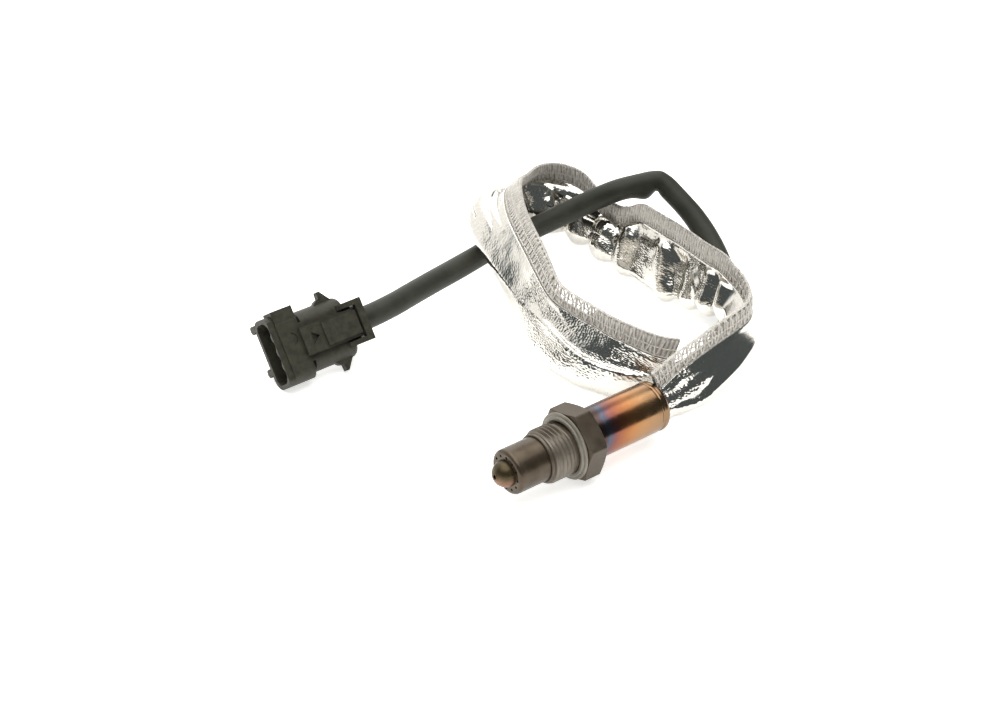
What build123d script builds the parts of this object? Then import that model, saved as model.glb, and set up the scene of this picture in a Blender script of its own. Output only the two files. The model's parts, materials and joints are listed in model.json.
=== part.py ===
"""Heated planar oxygen sensor with its lead, heat-protection sleeve and four-way plug.

Millimetres. The origin is on the sensor's axis at the front face of the seal ring, the face that
seats on the exhaust boss. +X runs along the axis towards the tip, which is the screwing-in
direction, and +Z is up as the sensor lies on a surface.
"""

import os
from math import acos, atan2, cos, hypot, pi, radians, sin, tan

from build123d import *

# --------------------------------------------------------------------------- driving dimensions
# Seal ring
RING_OUTER_R = 11.2
RING_THICKNESS = 1.8
RING_FIT = 0.15  # radial clearance on the neck
RING_LEAD_IN = 0.08  # the front fold opens wider than the thread

# Hexagon shell
THREAD_R = 9.0  # M18 major radius, thread form not cut
THREAD_LENGTH = 8.0
NECK_R = 8.1  # undercut behind the thread, where the ring is captive
NECK_LENGTH = 0.9  # of the undercut in front of the seat face
HEX_ACROSS_FLATS = 22.0
HEX_LENGTH = 7.0
HEX_ROLL = 15.0  # how far the hexagon is turned about X
SPIGOT_R = 7.6  # carries the rear sleeve
SPIGOT_LENGTH = 4.5
SHELL_BORE_R = 6.0
NOSE_LENGTH = 1.2  # plain nose in front of the thread
NOSE_R = 8.0

# Protection tubes
TUBE_R = 7.4
TUBE_WALL = 0.45
TUBE_TIP_X = 22.0
TUBE_TIP_FILLET = 1.3
TUBE_SEAT_X = 4.0  # rear end of the tube inside the shell's nose
TIP_OPENING_R = 4.45
TIP_HOLE_COUNT = 12
TIP_HOLE_R = 0.45
TIP_HOLE_CIRCLE_R = TUBE_R - 1.85
DOME_R = 4.2
DOME_WALL = 0.4
DOME_TIP_X = 24.6
DOME_PORT_R = 0.85
DOME_PORT_TILT = 38.0  # of the port from the axis
DOME_PORT_ROLL = 205.0  # of the port about the axis
INNER_HOLE_COUNT = 6
INNER_HOLE_R = 0.75
INNER_HOLE_X = 9.5

# Ceramics and contacts
ELEMENT_WIDTH = 4.4
ELEMENT_THICKNESS = 1.4
ELEMENT_TIP_X = 19.0
ELEMENT_REAR_X = -25.0
ELEMENT_FIT = 0.08
STACK_FIT = 0.12  # radial clearance of the stack in the bore
LOWER_BUSHING_LENGTH = 6.0
PACKING_LENGTH = 4.5
UPPER_BUSHING_LENGTH = 6.0
STACK_FRONT_X = 3.2
HOLDER_R = 5.6
HOLDER_FRONT_X = -15.0
HOLDER_LENGTH = 12.0
HOLDER_GAP = 0.3  # between the two halves
CLAMP_WALL = 0.5
CLAMP_LENGTH = 6.0
CONTACT_WIDTH = 1.5
CONTACT_THICKNESS = 0.3
CONTACT_PITCH = 2.3
CRIMP_R = 1.45
CRIMP_LENGTH = 4.0

# Rear sleeve and grommet
SLEEVE_R = 8.4
SLEEVE_WALL = 0.6
SLEEVE_REAR_X = -38.6
SLEEVE_MOUTH_R = 6.0
SLEEVE_END_FILLET = 1.6
CRIMP_GROOVE_X = SLEEVE_REAR_X + 3.0
CRIMP_GROOVE_DEPTH = 0.35
CRIMP_GROOVE_R = 0.9
GROMMET_FRONT_X = SLEEVE_REAR_X + 5.2
GROMMET_FIT = 0.1

# Lead
LEAD_R = 0.95
LEAD_PITCH = 2.4  # square pattern of the four leads
LEAD_FIT = 0.08
CABLE_R = 4.1
LEAD_FREE_LENGTH = 0.5  # bare leads between the rear sleeve and the sheath

# Heat-protection sleeve and its stitched edge
CLOTH = 0.8
CLOTH_BORE_R = CABLE_R + 1.4
DRAWN_BORE_R = 5.5  # the bore that the table of the stitched edge was drawn for
SEAM_HEIGHT = 7.0
SEAM_THICKNESS = 1.7
STITCH_WALL = 0.55
STITCH_FIT = 0.15
HEAT_SLEEVE_START = 0.1  # past the cable's start
HEAT_SLEEVE_LENGTH = 318.0  # along the cable
HEAT_SLEEVE_STATIONS = 44

# Plug, in its own frame: x back from the mouth is negative, y across, z out of the latch face
SHROUD_WIDTH = 24.6
SHROUD_HEIGHT = 11.0
SHROUD_LENGTH = 10.5
SHROUD_CORNER = 4.0
SHROUD_WALL = 1.6
CAVITY_DEPTH = 12.0
BODY_WIDTH = 21.4
BODY_HEIGHT = 9.6
BODY_REAR = 29.6
CORE_WIDTH = 14.0  # narrower middle of the body, behind the two long barrels
CORE_REAR = 31.2
WAYS = 4
WAY_PITCH = 5.0
SCALLOP_R = 2.3
EAR_REACH = 13.3
EAR_START = 2.4
MOUTH_STEP = 0.55  # the rim is this much lower than the saddle behind it
MARK_R = 2.0  # round ejector mark on the saddle
LATCH_WIDTH = 9.8
LATCH_ROOT = 11.0
LATCH_END = 31.0
NOTCH_DEPTH = 1.1
LATCH_THICKNESS = 1.4
LATCH_GAP = 1.0
PAD_START = 17.5
PAD_WIDTH = 8.2
PAD_RISE = 0.8
BRIDGE_WIDTH = 15.0
BRIDGE_START = 31.7
BRIDGE_LENGTH = 2.7
BRIDGE_RISE = 3.4
BRIDGE_THICKNESS = 2.0
RIB_R = 1.5
RIB_LENGTH = 9.0
RIB_PLACES = (-9.9, 5.6)
RIB_DROP = 1.8
BARB_REACH = 14.2
BARB_SHIFT = 1.2
BLADE_WIDTH = 2.8
BLADE_THICKNESS = 0.8
BLADE_TIP = 5.0  # behind the mouth
TERMINAL_BOX = 3.0
TERMINAL_REAR = 21.0
TERMINAL_FIT = 0.12
CHAMBER_FRONT = 21.5
CHAMBER_REAR = 27.2
GLAND_R = CABLE_R + 1.1
GLAND_FIT = 0.03
LEAD_EXIT_R = 3.2  # hole for the four leads through the housing's rear wall
GLAND_REAR = 35.6
COLLAR_REAR = 34.2
COLLAR_WALL = 1.0
CABLE_END = 32.6  # the sheath's cut end inside the gland
PLUG_MOUTH_X = 41.8
PLUG_Y = -101.0
PLUG_ROLL = -53.0

DRAWN_REAR_X = -38.6  # where the rear sleeve ends in the coordinates of the route and the plug

# --------------------------------------------------------------------------- derived values
LEAD_SHIFT_X = SLEEVE_REAR_X - DRAWN_REAR_X
RING_REAR_X = -RING_THICKNESS
HEX_REAR_X = RING_REAR_X - HEX_LENGTH
SPIGOT_REAR_X = HEX_REAR_X - SPIGOT_LENGTH
HEX_CORNER_R = HEX_ACROSS_FLATS / 2 / cos(radians(30))
FLOOR_Z = -HEX_CORNER_R * sin(radians(60 + HEX_ROLL))
CABLE_ON_FLOOR = FLOOR_Z + CABLE_R
PLUG_Z = FLOOR_Z + 11.6
THREAD_START_X = NECK_LENGTH
THREAD_END_X = THREAD_START_X + THREAD_LENGTH
NOSE_END_X = THREAD_END_X + NOSE_LENGTH


def turned(*outline):
    """A solid of revolution about X from (x, radius) points."""
    return revolve(make_face(Polyline(*outline, close=True)), axis=Axis.X)


def rod(x_from, x_to, radius, y=0.0, z=0.0):
    """A round rod along X."""
    return Pos(x_from, y, z) * Rot(0, 90, 0) * Cylinder(
        radius, x_to - x_from, align=(Align.CENTER, Align.CENTER, Align.MIN)
    )


def block(x_from, x_to, y_size, z_size, y=0.0, z=0.0):
    """A rectangular bar along X, centred on (y, z)."""
    return Pos((x_from + x_to) / 2, y, z) * Box(abs(x_to - x_from), y_size, z_size)


# --------------------------------------------------------------------------- sensor head
def make_hex_shell():
    outer = turned(
        (SPIGOT_REAR_X, 0),
        (SPIGOT_REAR_X, SPIGOT_R),
        (HEX_REAR_X, SPIGOT_R),
        (RING_REAR_X, SPIGOT_R),
        (RING_REAR_X, NECK_R),
        (THREAD_START_X, NECK_R),
        (THREAD_START_X + THREAD_R - NECK_R, THREAD_R),
        (THREAD_END_X - THREAD_R + NOSE_R, THREAD_R),
        (THREAD_END_X, NOSE_R),
        (NOSE_END_X, NOSE_R),
        (NOSE_END_X, 0),
    )
    prism = Pos(HEX_REAR_X, 0, 0) * extrude(
        Plane.YZ * Rot(0, 0, HEX_ROLL) * RegularPolygon(HEX_CORNER_R, 6), amount=HEX_LENGTH
    )
    # the turned chamfers round off the six corners at both faces
    face_r = HEX_ACROSS_FLATS / 2
    slope = HEX_CORNER_R - face_r
    drop = slope * tan(radians(30))
    envelope = turned(
        (HEX_REAR_X, 0),
        (HEX_REAR_X, face_r),
        (HEX_REAR_X + drop, HEX_CORNER_R),
        (RING_REAR_X - drop, HEX_CORNER_R),
        (RING_REAR_X, face_r),
        (RING_REAR_X, 0),
    )
    tube_socket_r = TUBE_R + STACK_FIT
    bore = rod(SPIGOT_REAR_X - 1, STACK_FRONT_X, SHELL_BORE_R)
    throat = rod(0, NOSE_END_X + 1, SHELL_BORE_R - 1.2)
    socket = rod(TUBE_SEAT_X, NOSE_END_X + 1, tube_socket_r)
    return outer + (prism & envelope) - bore - throat - socket


def make_seal_ring():
    """Sheet ring folded back on itself: a full-width rear fold and a narrower front lip."""
    inner_r = NECK_R + RING_FIT
    step_r = (RING_OUTER_R + inner_r) / 2 + 0.3
    step_x = -0.35 * RING_THICKNESS
    return turned(
        (RING_REAR_X, inner_r),
        (RING_REAR_X, RING_OUTER_R - 0.5),
        (RING_REAR_X + 0.5, RING_OUTER_R),
        (step_x - 0.3, RING_OUTER_R),
        (step_x, RING_OUTER_R - 0.4),
        (step_x, step_r + 0.2),
        (-0.2, step_r),
        (0, step_r - 0.3),
        (0, THREAD_R + RING_LEAD_IN),
        (step_x, inner_r),
    )


def make_outer_tube():
    """Drawn cup with a rounded front edge, an open centre and a ring of gas holes."""
    inside_r = TUBE_R - TUBE_WALL
    skin = FilletPolyline(
        (TUBE_SEAT_X, TUBE_R),
        (TUBE_TIP_X, TUBE_R),
        (TUBE_TIP_X, TIP_OPENING_R),
        radius=TUBE_TIP_FILLET,
    )
    lining = FilletPolyline(
        (TUBE_SEAT_X, inside_r),
        (TUBE_TIP_X - TUBE_WALL, inside_r),
        (TUBE_TIP_X - TUBE_WALL, TIP_OPENING_R),
        radius=TUBE_TIP_FILLET - TUBE_WALL,
    )
    ends = [Line(skin @ 0, lining @ 0), Line(skin @ 1, lining @ 1)]
    cup = revolve(make_face(skin.edges() + lining.edges() + ends), axis=Axis.X)
    for index in range(TIP_HOLE_COUNT):
        angle = 2 * pi * index / TIP_HOLE_COUNT
        y, z = TIP_HOLE_CIRCLE_R * cos(angle), TIP_HOLE_CIRCLE_R * sin(angle)
        cup -= rod(TUBE_TIP_X - 2, TUBE_TIP_X + 1, TIP_HOLE_R, y, z)
    return cup


def make_inner_tube():
    """Domed cup with a side port near the dome's crown and a row of gas holes further back."""
    dome_x = DOME_TIP_X - DOME_R
    inside_r = DOME_R - DOME_WALL
    flange_r = SHELL_BORE_R - 1.2 - STACK_FIT
    solid = rod(STACK_FRONT_X + 0.1, dome_x, DOME_R) + Pos(dome_x, 0, 0) * Sphere(DOME_R)
    hollow = rod(STACK_FRONT_X - 1, dome_x, inside_r) + Pos(dome_x, 0, 0) * Sphere(inside_r)
    flange = rod(STACK_FRONT_X + 0.1, STACK_FRONT_X + 0.1 + DOME_WALL, flange_r)
    cup = solid + flange - hollow
    port = Rot(DOME_PORT_ROLL, 0, 0) * Rot(0, 0, DOME_PORT_TILT) * rod(0, DOME_R + 1, DOME_PORT_R)
    cup -= Pos(dome_x, 0, 0) * port
    for index in range(INNER_HOLE_COUNT):
        across = Rot(360 * index / INNER_HOLE_COUNT, 0, 0)
        cup -= across * Pos(INNER_HOLE_X, 0, 0) * Cylinder(
            INNER_HOLE_R, DOME_R + 1, align=(Align.CENTER, Align.CENTER, Align.MIN)
        )
    return cup


def make_sensing_element():
    return block(ELEMENT_REAR_X, ELEMENT_TIP_X, ELEMENT_WIDTH, ELEMENT_THICKNESS)


def element_slot(x_from, x_to):
    fit = 2 * ELEMENT_FIT
    return block(x_from, x_to, ELEMENT_WIDTH + fit, ELEMENT_THICKNESS + fit)


def make_stack():
    """The two ceramic guides with the powder packing between them, from the front backwards."""
    pieces = {}
    front = STACK_FRONT_X - STACK_FIT
    lengths = {
        "lower_bushing": LOWER_BUSHING_LENGTH,
        "talc_packing": PACKING_LENGTH,
        "upper_bushing": UPPER_BUSHING_LENGTH,
    }
    for name, length in lengths.items():
        rear = front - length
        pieces[name] = rod(rear, front, SHELL_BORE_R - STACK_FIT) - element_slot(rear - 1, front + 1)
        front = rear
    return pieces


def contact_y(index):
    return (index % 2 - 0.5) * CONTACT_PITCH


def contact_side(index):
    return 1 if index < 2 else -1


def make_contact(index):
    """Flat spring lying on the element's pad, with a crimp barrel round its wire."""
    side, y = contact_side(index), contact_y(index)
    z = side * (ELEMENT_THICKNESS / 2 + CONTACT_THICKNESS / 2 + 0.02)
    lead = LEAD_PITCH / 2
    tail_x = HOLDER_FRONT_X - HOLDER_LENGTH - 0.4
    blade = block(tail_x, HOLDER_FRONT_X - 1.5, CONTACT_WIDTH, CONTACT_THICKNESS, y, z)
    y_end, z_end = contact_hand(index) * lead, side * lead
    neck_rear = tail_x - 1.6
    neck = loft(
        [
            Pos(tail_x, y, z) * Rot(0, 90, 0) * Rectangle(CONTACT_THICKNESS, CONTACT_WIDTH),
            Pos(neck_rear, y_end, z_end) * Rot(0, 90, 0) * Rectangle(0.6, 0.9),
        ]
    )
    barrel = rod(neck_rear - CRIMP_LENGTH, neck_rear, CRIMP_R - 0.3, y_end, z_end)
    barrel -= rod(neck_rear - CRIMP_LENGTH - 1, neck_rear - 0.5, LEAD_R + LEAD_FIT / 2, y_end, z_end)
    return blade + neck + barrel


def contact_hand(index):
    return 1 if contact_y(index) > 0 else -1


def make_contact_holders():
    """Two ceramic half rounds, each with grooves for its pair of contacts."""
    rear = HOLDER_FRONT_X - HOLDER_LENGTH
    whole = rod(rear, HOLDER_FRONT_X, HOLDER_R)
    whole -= element_slot(rear - 1, HOLDER_FRONT_X + 1)
    for index in range(WAYS):
        z = contact_side(index) * (ELEMENT_THICKNESS / 2 + CONTACT_THICKNESS / 2)
        whole -= block(
            rear - 1,
            HOLDER_FRONT_X + 1,
            CONTACT_WIDTH + 2 * ELEMENT_FIT,
            CONTACT_THICKNESS + 2 * ELEMENT_FIT,
            contact_y(index),
            z,
        )
    halves = {}
    for name, side in (("contact_holder_a", 1), ("contact_holder_b", -1)):
        reach = HOLDER_R + 1
        keep = block(rear - 1, HOLDER_FRONT_X + 1, 2 * reach, reach, 0, side * (reach + HOLDER_GAP) / 2)
        halves[name] = whole & keep
    return halves


def make_clamp_ring():
    middle = HOLDER_FRONT_X - HOLDER_LENGTH / 2
    ends = (middle - CLAMP_LENGTH / 2, middle + CLAMP_LENGTH / 2)
    inner_r = HOLDER_R + 0.02
    return rod(*ends, inner_r + CLAMP_WALL) - rod(ends[0] - 1, ends[1] + 1, inner_r)


def make_rear_sleeve():
    """Drawn tube pushed over the shell's spigot, crimped on the grommet and rolled in at the end."""
    inner_r = SPIGOT_R + 0.03
    bore_r = SLEEVE_R - SLEEVE_WALL
    front_x = HEX_REAR_X - 0.02
    step_x = SPIGOT_REAR_X - 1.0
    skin = FilletPolyline(
        (front_x, SLEEVE_R),
        (SLEEVE_REAR_X, SLEEVE_R),
        (SLEEVE_REAR_X, SLEEVE_MOUTH_R),
        radius=SLEEVE_END_FILLET,
    )
    lining = FilletPolyline(
        (front_x, inner_r),
        (step_x, inner_r),
        (step_x - 0.5, bore_r),
        (SLEEVE_REAR_X + SLEEVE_WALL, bore_r),
        (SLEEVE_REAR_X + SLEEVE_WALL, SLEEVE_MOUTH_R),
        radius=[0, 0, SLEEVE_END_FILLET - SLEEVE_WALL],
    )
    ends = [Line(skin @ 0, lining @ 0), Line(skin @ 1, lining @ 1)]
    tube = revolve(make_face(skin.edges() + lining.edges() + ends), axis=Axis.X)
    groove_r = SLEEVE_R - CRIMP_GROOVE_DEPTH + CRIMP_GROOVE_R
    groove = Pos(CRIMP_GROOVE_X, 0, 0) * Rot(0, 90, 0) * Torus(groove_r, CRIMP_GROOVE_R)
    return tube - groove


def lead_places():
    half = LEAD_PITCH / 2
    return [(contact_hand(i) * half, contact_side(i) * half) for i in range(WAYS)]


def make_grommet():
    rear_x = SLEEVE_REAR_X + SLEEVE_WALL + 0.05
    plug_r = SLEEVE_R - SLEEVE_WALL - GROMMET_FIT
    shoulder = SLEEVE_END_FILLET
    plug = turned(
        (GROMMET_FRONT_X, 0),
        (GROMMET_FRONT_X, plug_r - 0.8),
        (GROMMET_FRONT_X - 0.8, plug_r),
        (rear_x + shoulder, plug_r),
        (rear_x, plug_r - shoulder),
        (rear_x, 0),
    )
    for y, z in lead_places():
        plug -= rod(rear_x - 1, GROMMET_FRONT_X + 1, LEAD_R + LEAD_FIT, y, z)
    return plug


def make_sensor_lead(index):
    y, z = lead_places()[index]
    front = HOLDER_FRONT_X - HOLDER_LENGTH - 2.6
    return rod(SLEEVE_REAR_X - LEAD_FREE_LENGTH, front, LEAD_R, y, z)


# --------------------------------------------------------------------------- cable
# The cable's corner points from the sensor to the plug. SLEEVED_POINTS are inside the heat sleeve.
SLEEVED_POINTS = [
    (DRAWN_REAR_X - LEAD_FREE_LENGTH, 0, 0),
    (-51, 0, 0),
    (-63, -3.6, -0.4),
    (-76, -7.0, -1.8),
    (-88, -11.2, -0.8),
    (-97.5, -19.5, 2.0),
    (-102.4, -31.5, 3.4),
    (-104, -45, 0.0),
    (-104.6, -60, -5.0),
    (-105, -76, -5.6),
    (-106, -92, -5.8),
    (-105.4, -103, -5.8),
    (-102.4, -112.5, -4.6),
    (-97.6, -120.6, -2),
    (-89.2, -125.0, 2.4),
    (-79.2, -125.6, 6.8),
    (-69.8, -121.4, 9.0),
    (-61.8, -113.2, 9.4),
    (-55.8, -102.6, 8.4),
    (-52.8, -91.0, 4.8),
    (-51.4, -79.5, -0.6),
    (-48.8, -68, -4.8),
    (-44.9, -56.5, -5.9),
    (-42.4, -44.8, -5.9),
    (-43, -33.6, -5.9),
    (-46.9, -24.6, -5.9),
]
FREE_POINTS = [
    (-54.2, -18.2, -5.9),
    (-64.6, -15.6, -7.0),
    (-77, -17.4, CABLE_ON_FLOOR),
    (-89.5, -22.6, CABLE_ON_FLOOR),
    (-101, -30.2, CABLE_ON_FLOOR),
    (-109.5, -38, CABLE_ON_FLOOR),
    (-118, -50, -7.6),
    (-122, -62.5, -2.5),
    (-123, -75.5, 5.6),
    (-120.6, -90.2, 16.8),
    (-104.5, -99.5, 12.8),
    (-91, -109, 4.2),
    (-79, -115.2, -1.6),
    (-66, -115.8, -2.6),
    (-46, -111.6, -2.6),
    (-24, -106.4, -1.4),
]
PLUG_ENTRY = [
    (PLUG_MOUTH_X - GLAND_REAR - 9.0, PLUG_Y, PLUG_Z),
    (PLUG_MOUTH_X - CABLE_END, PLUG_Y, PLUG_Z),
]
ROUTE = [(x + LEAD_SHIFT_X, y, z) for x, y, z in SLEEVED_POINTS + FREE_POINTS + PLUG_ENTRY]
RUN_SHARE = 0.45  # of the shorter run that a corner's arc takes


def route_radii(points):
    """One radius per corner, as large as its two runs allow."""
    radii = []
    for before, here, after in zip(points, points[1:], points[2:]):
        run_in, run_out = Vector(here) - Vector(before), Vector(after) - Vector(here)
        half_turn = radians(run_in.get_angle(run_out)) / 2
        radii.append(RUN_SHARE * min(run_in.length, run_out.length) / tan(half_turn))
    return radii


RADII = route_radii(ROUTE)
CABLE_PATH = FilletPolyline(*ROUTE, radius=RADII)


def make_cable():
    section = Plane(origin=CABLE_PATH @ 0, z_dir=CABLE_PATH % 0) * Circle(CABLE_R)
    return sweep(section, path=CABLE_PATH)


# --------------------------------------------------------------------------- heat sleeve
# Along the sleeve: distance from its front end, height of the stitched top edge over the sensor's axis
# and how far that edge leans to the left of the direction of travel.
TOP_EDGE = [
    (0, 12.2, 0.0),
    (11, 14.2, 2.4),
    (34, 14.7, 0.8),
    (52, 15.2, -1.9),
    (71, 17.7, 3.0),
    (80, 17.5, 2.2),
    (90, 15.7, 1.3),
    (108, 15.7, 0.3),
    (131, 13.7, -1.6),
    (139, 7.0, -1.2),
    (151, 7.0, -1.2),
    (158, 13.7, -3.6),
    (170, 16.4, -5.5),
    (186, 20.4, 2.5),
    (203, 24.3, 3.8),
    (212, 24.8, 4.0),
    (224, 23.8, 3.6),
    (238, 20.5, 2.2),
    (251, 18.7, -0.4),
    (263, 16.7, -1.5),
    (273, 15.7, -1.1),
    (282, 15.2, 2.3),
    (293, 15.2, 3.3),
    (307, 15.2, -0.6),
    (318, 12.9, -9.0),
]


def top_edge(along):
    """Height over the sensor's axis and lean of the stitched edge at a distance along the sleeve."""
    for (start, *low), (end, *high) in zip(TOP_EDGE, TOP_EDGE[1:]):
        if along <= end:
            t = (along - start) / (end - start)
            return [a + t * (b - a) for a, b in zip(low, high)]
    return TOP_EDGE[-1][1:]


def section_plane(along):
    """Upright section across the cable: local x is level, to the left of travel, and local y is up."""
    distance = HEAT_SLEEVE_START + along
    here = CABLE_PATH.position_at(distance, position_mode=PositionMode.LENGTH)
    ahead = CABLE_PATH.tangent_at(distance, position_mode=PositionMode.LENGTH)
    left = Vector(-ahead.Y, ahead.X, 0).normalized()
    return Plane(origin=here, x_dir=left, z_dir=left.cross(Vector(0, 0, 1)))


def local_top(plane, along):
    """The stitched edge in a section's own coordinates: its lean and its height over the cable."""
    height, lean = top_edge(along)
    return lean, height + CLOTH_BORE_R - DRAWN_BORE_R - plane.origin.Z


def wall_start(radius, x, z):
    """Angle round the section where a straight wall toward (x, z) leaves the round bottom."""
    return atan2(z, x) - acos(min(1, radius / hypot(x, z)))


def teardrop(plane, along, radius, neck_half, top_half, top_drop, neck_drop):
    """Round bottom about the cable, straight sides to a neck, and an upright edge above it."""
    lean, top = local_top(plane, along)
    neck = top - neck_drop
    right_start = max(radians(15), wall_start(radius, lean + neck_half, neck))
    left_start = max(radians(15), wall_start(radius, neck_half - lean, neck))
    right = (radius * cos(right_start), radius * sin(right_start))
    left = (-radius * cos(left_start), radius * sin(left_start))
    outline = [
        ThreePointArc(left, (0, -radius), right),
        Line(right, (lean + neck_half, neck)),
        Line((lean + neck_half, neck), (lean + top_half, top - top_drop)),
        Line((lean + top_half, top - top_drop), (lean - top_half, top - top_drop)),
        Line((lean - top_half, top - top_drop), (lean - neck_half, neck)),
        Line((lean - neck_half, neck), left),
    ]
    return plane * make_face(outline)


def sleeve_stations(overrun=0.0):
    """Section planes along the sleeve, the first and last moved outwards by the overrun."""
    for index in range(HEAT_SLEEVE_STATIONS + 1):
        along = HEAT_SLEEVE_LENGTH * index / HEAT_SLEEVE_STATIONS
        plane = section_plane(along)
        if index == 0:
            plane = plane.offset(-overrun)
        if index == HEAT_SLEEVE_STATIONS:
            plane = plane.offset(overrun)
        yield plane, along


def make_heat_sleeve():
    half = SEAM_THICKNESS / 2
    outside = [
        teardrop(plane, along, CLOTH_BORE_R + CLOTH, half, half, 0, SEAM_HEIGHT)
        for plane, along in sleeve_stations()
    ]
    inside = [
        teardrop(plane, along, CLOTH_BORE_R, 0.5, 0.3, SEAM_HEIGHT, SEAM_HEIGHT + 0.6)
        for plane, along in sleeve_stations(overrun=1.0)
    ]
    return loft(outside, ruled=True) - loft(inside, ruled=True)


def seam_band(half_width, foot, rise, overrun=0.0):
    sections = []
    for plane, along in sleeve_stations(overrun):
        lean, top = local_top(plane, along)
        middle = top + (rise - foot) / 2
        sections.append(plane * Pos(lean, middle) * Rectangle(2 * half_width, foot + rise))
    return loft(sections, ruled=True)


def make_stitching():
    """Overlock band that wraps both sides and the top of the seam."""
    core = SEAM_THICKNESS / 2 + STITCH_FIT
    band = seam_band(core + STITCH_WALL, SEAM_HEIGHT - 0.6, STITCH_WALL + STITCH_FIT)
    return band - seam_band(core, SEAM_HEIGHT + 1.0, STITCH_FIT, overrun=1.0)


# --------------------------------------------------------------------------- plug
def plug_place(shape):
    return Pos(PLUG_MOUTH_X + LEAD_SHIFT_X, PLUG_Y, PLUG_Z) * Rot(PLUG_ROLL, 0, 0) * shape


def rounded_bar(x_from, x_to, width, height, corner, z=0.0):
    """A bar along X with rounded long edges; x values are distances behind the mouth."""
    section = Plane.YZ * RectangleRounded(width, height, corner)
    return Pos(-x_to, 0, z) * extrude(section, amount=x_to - x_from)


def way_y(index):
    return (index - (WAYS - 1) / 2) * WAY_PITCH


def make_connector_housing():
    top = SHROUD_HEIGHT / 2
    body_top = BODY_HEIGHT / 2
    housing = rounded_bar(0, SHROUD_LENGTH, SHROUD_WIDTH, SHROUD_HEIGHT, SHROUD_CORNER)
    barrel = rounded_bar(SHROUD_LENGTH - 1, BODY_REAR, BODY_WIDTH, BODY_HEIGHT, BODY_HEIGHT / 2 - 0.1)
    barrel = fillet(barrel.faces().sort_by(Axis.X)[0].edges(), 2.2)
    housing += barrel
    # the core runs on behind the barrels to the collar that holds the gland
    housing += rounded_bar(SHROUD_LENGTH, CORE_REAR, CORE_WIDTH, BODY_HEIGHT, 2.0)
    housing += rod(-COLLAR_REAR, -CORE_REAR + 0.5, GLAND_R + COLLAR_WALL)
    # a rim lower than the saddle behind it, with one square ear on the keyed side
    rim = Box(EAR_START, SHROUD_WIDTH + 1, 2.0, align=(Align.MAX, Align.CENTER, Align.MIN))
    housing -= Pos(0, 0, top - MOUTH_STEP) * rim
    ear = Box(SHROUD_LENGTH - EAR_START, 4.0, 6.0, align=(Align.MAX, Align.CENTER, Align.MAX))
    housing += Pos(-EAR_START, -(EAR_REACH - 2.0), top) * ear
    housing -= make_ejector_mark(top)
    # keying ribs under the shroud, one near each side and not symmetrical
    for y in RIB_PLACES:
        web = block(-RIB_LENGTH, 0, 2 * RIB_R * 0.6, RIB_DROP, y, -top - RIB_DROP / 2 + 0.2)
        housing += rod(-RIB_LENGTH, 0, RIB_R, y, -top - RIB_DROP) + web
    housing += make_latch(top) + make_bridge(body_top)
    for side in (1, -1):
        housing += make_barb(side)
    # mouth cavity with a scallop over each way
    cavity_width, cavity_height = SHROUD_WIDTH - 2 * SHROUD_WALL, SHROUD_HEIGHT - 2 * SHROUD_WALL
    cavity = rounded_bar(-1, CAVITY_DEPTH, cavity_width, cavity_height, 2.4)
    for index in range(WAYS):
        cavity += rod(-CAVITY_DEPTH, 1, SCALLOP_R, way_y(index), top - SCALLOP_R - 0.7)
    housing -= cavity
    housing -= make_way_holes()
    return housing


def make_ejector_mark(top):
    """Shallow crescent groove left in the saddle by a moulding pin."""
    disc = Cylinder(MARK_R, 1.0)
    crescent = disc - Pos(0.55, 0, 0) * Cylinder(MARK_R, 2.0)
    return Pos(-6.6, -2.4, top + 0.1) * crescent


def make_way_holes():
    """Terminal passages, the slot of the secondary lock, the rear chamber and the gland's socket."""
    size = TERMINAL_BOX + 2 * TERMINAL_FIT
    holes = rounded_bar(CHAMBER_FRONT, CHAMBER_REAR, WAY_PITCH * 3 + 3.6, 6.0, 2.4)
    holes += rod(-CORE_REAR - 0.5, -CHAMBER_REAR + 0.5, LEAD_EXIT_R)
    holes += rod(-COLLAR_REAR - 1, -CORE_REAR, GLAND_R + GLAND_FIT)
    for index in range(WAYS):
        holes += block(-CHAMBER_FRONT - 0.5, -CAVITY_DEPTH + 0.5, size, size, way_y(index))
    return holes


def make_latch(top):
    """Latch tongue, rooted behind the shroud, free at the back, with a thumb pad on it."""
    under = top + LATCH_GAP - 0.9
    tongue = Pos(-LATCH_END, 0, under) * Box(
        LATCH_END - LATCH_ROOT + 1.5,
        LATCH_WIDTH,
        LATCH_THICKNESS,
        align=(Align.MIN, Align.CENTER, Align.MIN),
    )
    pad = Pos(-LATCH_END, 0, under + LATCH_THICKNESS) * Box(
        LATCH_END - PAD_START, PAD_WIDTH, PAD_RISE, align=(Align.MIN, Align.CENTER, Align.MIN)
    )
    root = Pos(-LATCH_ROOT - 3.0, 0, BODY_HEIGHT / 2 - 1) * Box(
        4.5, LATCH_WIDTH, under - BODY_HEIGHT / 2 + 1.2, align=(Align.MIN, Align.CENTER, Align.MIN)
    )
    notch_plane = Pos(-14.2, 0, under + LATCH_THICKNESS + 0.1)
    notch = notch_plane * extrude(Polygon((1.6, 2.0), (-1.6, -0.4), (1.2, -2.4)), amount=-NOTCH_DEPTH)
    return tongue + pad + root - notch


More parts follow.
